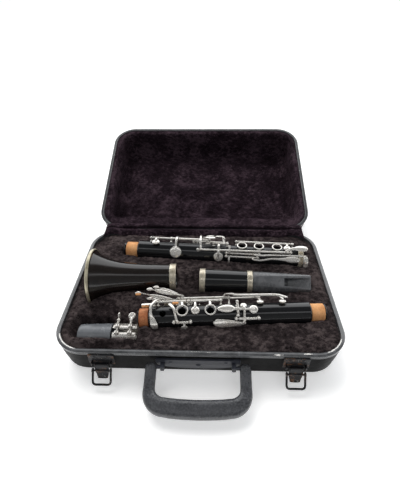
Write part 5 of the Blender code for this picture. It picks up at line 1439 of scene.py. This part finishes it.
key(
    "throat_a_key",
    UPPER,
    [
        cylinder((116.5, -5.9, 17.2), (116.5, 7.9, 17.2), 1.4),
        touch(polar(102.7, 0, 19.8), (1, 0, 0.02), (0, 0, 1), 9.8, 4.7, 1.8),
        ribbon([(108.0, 0, 19.2, 3.4, 1.4), (116.5, 0, 17.9, 3.0, 1.5), (124.0, -1, 17.4, 2.4, 1.3), (133.0, -2, 18.0, 2.4, 1.3)]),
        cup(134.6, -2, 17.2, 5.0),
    ],
)
key(
    "throat_g_sharp_key",
    UPPER,
    [
        rod(117.0, 137.6, -38, 17.4),
        cup(123.5, 17, 16.9, 3.8, 2.2),
        ribbon([(123.5, 14, 18.2, 2.4, 1.2), (123.5, 6, 20.4, 2.4, 1.2), (123.5, -12, 21.0, 2.4, 1.2), (123.5, -30, 18.9, 2.6, 1.3), (123.5, -44, 18.2, 2.8, 1.4), (122.0, -56, 18.0, 3.6, 1.4)]),
        ribbon([(124.6, -54, 17.9, 3.0, 1.4), (118.0, -55, 18.0, 5.0, 1.6), (108.0, -54, 18.2, 8.4, 1.8), (98.0, -52, 18.2, 10.4, 1.8), (91.0, -50, 18.0, 8.0, 1.6), (88.6, -49, 17.8, 4.0, 1.2)]),
    ],
)
key(
    "trill_key_upper",
    UPPER,
    [
        rod(50.4, 105.6, 66, 21.6, 1.2),
        ribbon([(54.0, 66, 21.8, 2.6, 1.4), (52.4, 66, 25.2, 2.8, 1.4), (40.0, 66, 27.0, 2.8, 1.4), (28.0, 66, 30.0, 4.2, 1.3), (17.0, 66, 32.9, 3.0, 1.2), (14.5, 66, 33.4, 2.4, 1.1)]),
        touch(polar(13.4, 66, 33.6), (1, 0, 0.05), (0, 0, 1), 3.6, 1.9, 0.9),
        blade(polar(20.0, 66, 32.0), polar(46.0, 66, 26.2), 2.5),
        ribbon([(102.0, 66, 21.8, 2.6, 1.4), (103.6, 65, 25.2, 3.0, 1.4), (112.0, 63, 25.2, 5.0, 2.4), (119.0, 62, 23.6, 5.6, 3.2), (158.0, 62, 22.8, 5.6, 3.4), (168.0, 57, 22.1, 5.6, 3.0), (176.0, 47, 20.4, 3.0, 1.8)]),
        cup(170.3, 40, 17.1, 4.3, 2.4),
        ribbon([(168.0, 56, 21.4, 3.0, 1.4), (170.0, 46, 19.6, 3.0, 1.4), (170.3, 39, 18.2, 3.0, 1.3)]),
    ],
)
key(
    "trill_key_lower",
    UPPER,
    [
        rod(48.4, 142.2, 82, 21.2, 1.2),
        ribbon([(52.6, 82, 21.4, 2.6, 1.4), (50.6, 79, 25.2, 2.8, 1.4), (43.0, 76, 27.2, 2.8, 1.4), (34.0, 72, 31.5, 4.4, 1.3), (25.0, 72, 35.0, 3.0, 1.2), (22.0, 72, 35.9, 2.4, 1.1)]),
        touch(polar(20.6, 72, 36.2), (1, 0, 0.05), (0, 0, 1), 3.6, 1.9, 0.9),
        blade(polar(26.0, 72, 34.4), polar(48.0, 77, 26.6), 2.5),
        cup(144.0, 42, 17.1, 4.3, 2.4),
        ribbon([(139.0, 82, 21.4, 2.6, 1.4), (140.0, 66, 20.4, 2.6, 1.3), (143.5, 52, 19.0, 2.8, 1.3), (144.0, 44, 18.4, 2.8, 1.3)]),
    ],
)
key(
    "side_key_b_flat",
    UPPER,
    [
        rod(43.2, 60.4, 96, 18.4, 1.2),
        ribbon([(46.0, 96, 18.6, 2.6, 1.4), (44.0, 93, 22.0, 2.8, 1.4), (36.0, 90, 23.4, 2.8, 1.4), (26.0, 86, 25.0, 4.0, 1.3), (14.0, 80, 27.2, 3.4, 1.3), (4.0, 76, 29.5, 2.6, 1.2), (1.0, 75, 29.8, 2.2, 1.1)]),
        touch(polar(-1.2, 74.0, 30.0), (1, 0, 0.05), (0, 0, 1), 3.6, 2.0, 0.9),
        cork_pad(-0.6, 73, 28.2, 3.0, 2.0, 2.2),
        blade(polar(12.0, 81, 27.6), polar(40.0, 91, 23.0), 2.4),
        cup(54.0, 74, 16.9, 3.4, 1.8),
        ribbon([(54.0, 96, 18.4, 2.6, 1.4), (54.0, 86, 18.3, 2.6, 1.0), (54.0, 75, 17.6, 2.6, 1.0)]),
    ],
)
key(
    "side_key_f_sharp",
    UPPER,
    [
        rod(33.0, 70.6, 112, 18.4, 1.2),
        ribbon([(36.5, 112, 18.6, 2.6, 1.4), (34.0, 110, 22.2, 2.8, 1.4), (22.0, 104, 25.6, 3.6, 1.3), (14.0, 99, 27.1, 2.8, 1.2), (12.0, 99, 27.2, 2.4, 1.1)]),
        touch(polar(11.4, 98.5, 27.2), (1, 0, 0), (0, 0, 1), 3.6, 1.9, 0.9),
        blade(polar(14.0, 99, 27.0), polar(34.0, 109, 22.6), 2.3),
        cup(67.2, 134, 17.0, 3.6, 2.2),
        ribbon([(67.2, 112, 18.6, 2.6, 1.4), (67.2, 122, 19.0, 2.6, 1.3), (67.2, 133, 18.1, 2.6, 1.3)]),
    ],
)
key(
    "thumb_ring_key",
    UPPER,
    [
        rod(76.4, 96.6, 150, 18.4),
        ring_key(85.0, 180, 17.7, 6.6, 4.6),
        ribbon([(85.0, 161, 18.2, 2.8, 1.3), (85.0, 150, RR, 2.6, 1.3)]),
    ],
)
key(
    "register_key",
    UPPER,
    [
        cylinder((140.0, -4.4, -17.2), (140.0, 4.4, -17.2), 1.4),
        ribbon([(94.5, 180, 20.4, 6.0, 1.4), (99.5, 180, 20.4, 8.0, 1.5), (106.0, 180, 19.8, 5.0, 1.4), (116.0, 180, 18.4, 3.2, 1.4), (140.0, 180, 17.6, 3.2, 1.6), (170.0, 180, 17.8, 2.6, 1.4), (188.0, 180, 18.2, 2.6, 1.4)]),
        cup(188.0, 180, 17.0, 3.6, 2.2),
    ],
)

# ---- lower joint ----
LB = tube_body(LOWER_L, LOWER_R, LOWER_R + 0.2, (20.4, 3.0, 19.6), ("socket", 6.4, 18.0))
joined_body(
    "lower_joint_turned",
    LB,
    [chimney(s, 0, LOWER_R, 5.4, 15.4) for s in (166.8, 190.0, 214.8)],
    [hole(s, 0, 4.1) for s in (166.8, 190.0, 214.8)],
    EBONITE, LOWER, "lower_joint", "lower_joint_body",
)
place("lower_joint_cork", cork_sleeve(3.3, 19.3, 9.7, 11.3), CORK, LOWER, "lower_joint", ["lower_tenon_cork"])
LR = LOWER_R + 0.4 + GAP
place("lower_joint_ferrule", grooved(LOWER_L - 6.4, LOWER_L, LR + 1.9, LR + 1.9, LR, ((0.32, 0.4), (0.66, 0.4))), RINGMAT, LOWER, "lower_joint", ["lower_socket_ring"])

LPOSTS = [
    (38.0, 24, 19.4), (117.4, 24, 19.4),
    (66.0, 42, 19.4), (120.6, 42, 19.4),
    (159.0, 32, 19.0), (236.4, 32, 19.0),
    (106.4, -34, 18.4), (232.8, -28, 18.4),
    (127.4, 8, 17.4), (146.4, 8, 17.4),
    (146.0, -43, 17.6), (190.6, -43, 17.6),
    (146.0, -58, 17.6), (188.6, -58, 17.6),
    (98.0, 66, 18.4), (146.0, 66, 18.4),
]

posts_piece("lower_joint_posts", LPOSTS, LOWER_R, LOWER, "lower_joint")

rings = []
for s in (166.8, 190.0, 214.8):
    rings += [ring_key(s, 0, 17.7, 7.0, 4.9), ribbon([(s, 18, 18.0, 3.0, 1.3), (s, 32, 19.0, 2.8, 1.3)])]
key(
    "right_hand_ring_key",
    LOWER,
    [rod(161.4, 234.0, 32, 19.0)] + rings + [cup(228.4, -2, 17.6, 4.8), ribbon([(228.4, 6, 18.8, 2.8, 1.2), (228.4, 18, 19.3, 2.6, 1.2), (228.4, 32, 19.0, 2.6, 1.2)])],
)
key(
    "low_e_key",
    LOWER,
    [
        rod(40.4, 115.0, 24, 19.4),
        cup(46.0, -1, 17.6, 5.2, 2.2),
        ribbon([(46.0, 4, 19.4, 3.2, 1.3), (46.0, 14, 20.2, 2.8, 1.3), (46.0, 24, 19.4, 2.8, 1.3)]),
        ribbon([(111.0, 24, 19.8, 2.8, 1.4), (113.0, 23, 23.4, 3.0, 1.4), (117.5, 16, 24.9, 4.0, 1.4), (121.0, 14, 25.2, 4.0, 1.2)]),
        touch(polar(122.8, 13, 25.3), (1, 0, 0.02), polar(0, 13, 1), 6.8, 3.5, 1.15),
    ],
)
key(
    "low_f_key",
    LOWER,
    [
        rod(68.4, 118.2, 42, 19.4),
        cup(75.6, -50, 17.7, 8.0),
        ribbon([(75.6, 42, 19.8, 3.0, 1.4), (75.6, 30, 22.4, 3.0, 1.3), (75.6, 8, 22.8, 3.0, 1.3), (75.6, -20, 20.4, 3.0, 1.3), (75.6, -44, 19.2, 3.2, 1.3)]),
        ribbon([(114.6, 42, 19.8, 2.8, 1.4), (116.4, 40, 23.6, 3.0, 1.4), (118.5, 35, 24.8, 4.0, 1.4), (121.5, 32, 25.2, 4.0, 1.2)]),
        touch(polar(123.3, 31.5, 25.3), (1, 0, 0), polar(0, 31.5, 1), 5.3, 3.4, 1.15),
    ],
)
key(
    "f_sharp_key",
    LOWER,
    [
        rod(129.8, 144.0, 8, 17.4),
        cup(135.0, -62, 17.4, 6.4),
        ribbon([(135.0, 8, 17.8, 3.0, 1.4), (135.0, -4, 19.8, 3.0, 1.3), (135.0, -20, 21.8, 3.0, 1.3), (135.0, -44, 21.2, 3.0, 1.3), (135.0, -60, 18.8, 3.2, 1.3)]),
        ribbon([(141.4, 8, 17.8, 2.8, 1.4), (141.4, 16, 21.4, 3.2, 1.4), (140.6, 22, 24.4, 3.8, 1.4), (138.6, 26, 25.4, 3.8, 1.3), (135.0, 27, 25.5, 4.0, 1.2)]),
        touch(polar(134.6, 27, 25.5), (-1, 0, 0), polar(0, 27, 1), 5.5, 3.4, 1.15),
    ],
)
key(
    "a_flat_key",
    LOWER,
    [
        rod(100.4, 143.6, 66, 18.4),
        cup(104.4, 94, 17.6, 6.0),
        ribbon([(104.4, 66, 18.8, 2.8, 1.3), (104.4, 78, 19.8, 2.8, 1.3), (104.4, 92, 19.0, 2.8, 1.3)]),
        ribbon([(140.0, 66, 18.8, 2.8, 1.4), (140.4, 58, 22.4, 3.2, 1.4), (140.4, 51, 24.6, 3.8, 1.4), (139.0, 47, 25.3, 3.8, 1.3), (135.0, 46, 25.5, 4.0, 1.2)]),
        touch(polar(135.2, 46, 25.5), (-1, 0, 0), polar(0, 46, 1), 5.7, 3.5, 1.15),
    ],
)
a, b = polar(109.0, -34.0, 18.4), polar(230.0, -28.0, 18.4)
key(
    "left_e_lever",
    LOWER,
    [
        cylinder(a, b, 1.4),
        ribbon([(110.4, -33.6, 18.6, 2.6, 1.4), (110.0, -14, 20.8, 2.6, 1.3), (109.2, 6, 22.8, 2.4, 1.3), (109.0, 22, 24.4, 2.4, 1.3), (109.0, 33, 25.4, 2.2, 1.3)]),
        ribbon([(225.0, -28, 18.7, 2.6, 1.4), (227.4, -25, 22.0, 2.8, 1.4), (233.4, -19, 22.6, 3.6, 1.5), (238.0, -16, 22.6, 4.6, 1.4), (243.0, -15, 22.5, 5.0, 1.2)]),
        touch(polar(245.4, -15, 22.5), (1, 0, 0), polar(0, -15, 1), 9.6, 4.5, 1.3),
    ],
)
key(
    "left_f_sharp_lever",
    LOWER,
    [
        rod(148.4, 188.2, -43, 17.6, 1.2),
        ribbon([(183.6, -43, 17.8, 2.4, 1.3), (185.6, -46, 21.2, 2.4, 1.2), (195.0, -47, 21.2, 2.4, 1.2), (200.0, -45, 19.4, 2.2, 1.2), (214.0, -42, 17.4, 2.2, 1.2), (246.0, -40, 17.4, 2.4, 1.2), (251.6, -45, 20.6, 5.0, 1.4), (252.6, -62, 20.9, 6.4, 1.5), (252.8, -84, 20.6, 5.4, 1.3)]),
        ribbon([(149.8, -44, 17.8, 2.4, 1.3), (149.8, -41, 20.9, 2.4, 1.2), (149.8, -31, 22.2, 2.4, 1.2), (149.8, -17, 22.0, 2.4, 1.2)]),
    ],
)
key(
    "left_f_lever",
    LOWER,
    [
        rod(148.4, 186.2, -58, 17.6, 1.2),
        ribbon([(181.6, -58, 17.8, 2.4, 1.3), (183.4, -63, 21.4, 2.4, 1.3), (193.0, -65, 21.6, 2.4, 1.3), (206.0, -58, 20.8, 2.6, 1.3), (218.0, -57, 20.8, 3.2, 1.3), (224.0, -57, 21.1, 4.6, 1.4), (230.0, -57, 21.3, 5.0, 1.2)]),
        touch(polar(233.6, -57, 21.3), (1, 0, 0), polar(0, -57, 1), 11.2, 4.2, 1.25),
        ribbon([(149.8, -58, 17.8, 2.4, 1.3), (149.8, -72, 19.2, 2.4, 1.2), (149.8, -86, 18.6, 2.4, 1.2)]),
    ],
)

rest = block((100.0, -4.4, -16.8), (119.0, 4.4, -14.35), 0.6)
rest.join(block((103.0, -4.2, -25.0), (105.2, 4.2, -15.6), 0.7))
rest.join(block((103.0, -4.2, -25.0), (110.0, 4.2, -23.2), 0.7))
for s in (112.0, 116.5):
    rest.join(turned((s, 0, -16.7), (0, 0, -1), [(0, 0), (0, 1.5), (0.4, 1.2), (0.6, 0)], 18))
place("thumb_rest_finished", rest, NICKEL, LOWER, "lower_joint", ["thumb_rest"])


# ------------------------------------------------- stage, light and viewpoint
floor_mesh = Geo().add([(-6000, -6000, -0.4), (6000, -6000, -0.4), (6000, 6000, -0.4), (-6000, 6000, -0.4)], [(0, 1, 2, 3)]).mesh("floor", [], None)
floor_mesh.transform(Matrix.Scale(MM, 4))
floor = bpy.data.objects.new("studio_floor", floor_mesh)
COL.objects.link(floor)
ground = Shader("studio_floor_white", (0.92, 0.92, 0.92), 0.7, 0.0, Specular_IOR_Level=0.1)
ground.b.inputs["Emission Color"].default_value = (1.0, 1.0, 1.0, 1.0)
ground.b.inputs["Emission Strength"].default_value = 0.36
ground.colour(ground.ramp(ground.noise(1.2, 2), [(0.3, (0.91, 0.91, 0.91)), (0.7, (0.93, 0.93, 0.93))]))
floor_mesh.materials.append(ground.mat)

world = bpy.context.scene.world or bpy.data.worlds.new("studio")
bpy.context.scene.world = world
world.use_nodes = True
sky = world.node_tree.nodes["Background"]
sky.inputs["Strength"].default_value = 1.0


def studio_sky():
    """A pale cyclorama behind, a dark ceiling over the set and one narrow bank above the front."""
    nt = world.node_tree
    coord = nt.nodes.new("ShaderNodeTexCoord")
    split = nt.nodes.new("ShaderNodeSeparateXYZ")
    angle = nt.nodes.new("ShaderNodeMath")
    angle.operation = "ARCTAN2"
    scale = nt.nodes.new("ShaderNodeMath")
    scale.operation = "DIVIDE"
    scale.inputs[1].default_value = math.pi
    ramp = nt.nodes.new("ShaderNodeValToRGB")
    # From the horizon behind, 0, over the top, 0.5, to the horizon in front, 1.
    stops = [(0.0, 1.75), (0.31, 1.85), (0.36, 0.14), (0.62, 0.12), (0.645, 1.3), (0.668, 1.3), (0.70, 0.16), (1.0, 0.30)]
    while len(ramp.color_ramp.elements) < len(stops):
        ramp.color_ramp.elements.new(0.5)
    for element, (at, value) in zip(ramp.color_ramp.elements, stops):
        element.position = at
        element.color = (value * 0.97, value * 0.985, value, 1)
    nt.links.new(coord.outputs["Generated"], split.inputs[0])
    nt.links.new(split.outputs["Z"], angle.inputs[0])
    nt.links.new(split.outputs["Y"], angle.inputs[1])
    nt.links.new(angle.outputs[0], scale.inputs[0])
    nt.links.new(scale.outputs[0], ramp.inputs["Fac"])
    nt.links.new(ramp.outputs["Color"], sky.inputs["Color"])


studio_sky()


def softbox(name, at, look, size, power, colour=(1, 1, 1)):
    data = bpy.data.lights.new(name, "AREA")
    data.shape = "RECTANGLE"
    data.size, data.size_y = size
    data.energy = power
    data.color = colour
    obj = bpy.data.objects.new(name, data)
    COL.objects.link(obj)
    obj.location = at
    obj.rotation_euler = (Vector(look) - Vector(at)).to_track_quat("-Z", "Y").to_euler()
    return obj


# The key light comes from high behind and left; it shapes the matt parts and stays out of the reflections.
key_light = softbox("key_bank", (-0.5, 0.9, 1.9), (0, 0.05, 0.03), (1.8, 1.2), 32, (1.0, 0.99, 0.97))
key_light.visible_glossy = False
fill_light = softbox("front_fill", (0.4, -1.7, 1.5), (0, 0.05, 0.03), (1.6, 1.0), 11, (0.97, 0.985, 1.0))
fill_light.visible_glossy = False

cam_data = bpy.data.cameras.new("view")
cam = bpy.data.objects.new("view", cam_data)
COL.objects.link(cam)
cam_data.sensor_width = 36.0
cam_data.sensor_fit = "AUTO"
cam_data.lens = 26.68
cam_data.clip_start, cam_data.clip_end = 0.01, 50.0
pitch, yaw, roll = 0.6898, -0.0422, -0.0164
fwd = Vector((math.sin(yaw) * math.cos(pitch), math.cos(yaw) * math.cos(pitch), -math.sin(pitch)))
right = Vector((math.cos(yaw), -math.sin(yaw), 0))
above = right.cross(fwd)
right2 = right * math.cos(roll) + above * math.sin(roll)
above2 = above * math.cos(roll) - right * math.sin(roll)
turn = Matrix((right2, above2, -fwd)).transposed().to_4x4()
cam.matrix_world = Matrix.Translation((0.0138, -0.3429, 0.3801)) @ turn
bpy.context.scene.camera = cam
bpy.context.scene.view_settings.view_transform = "Standard"
bpy.context.scene.view_settings.look = "None"
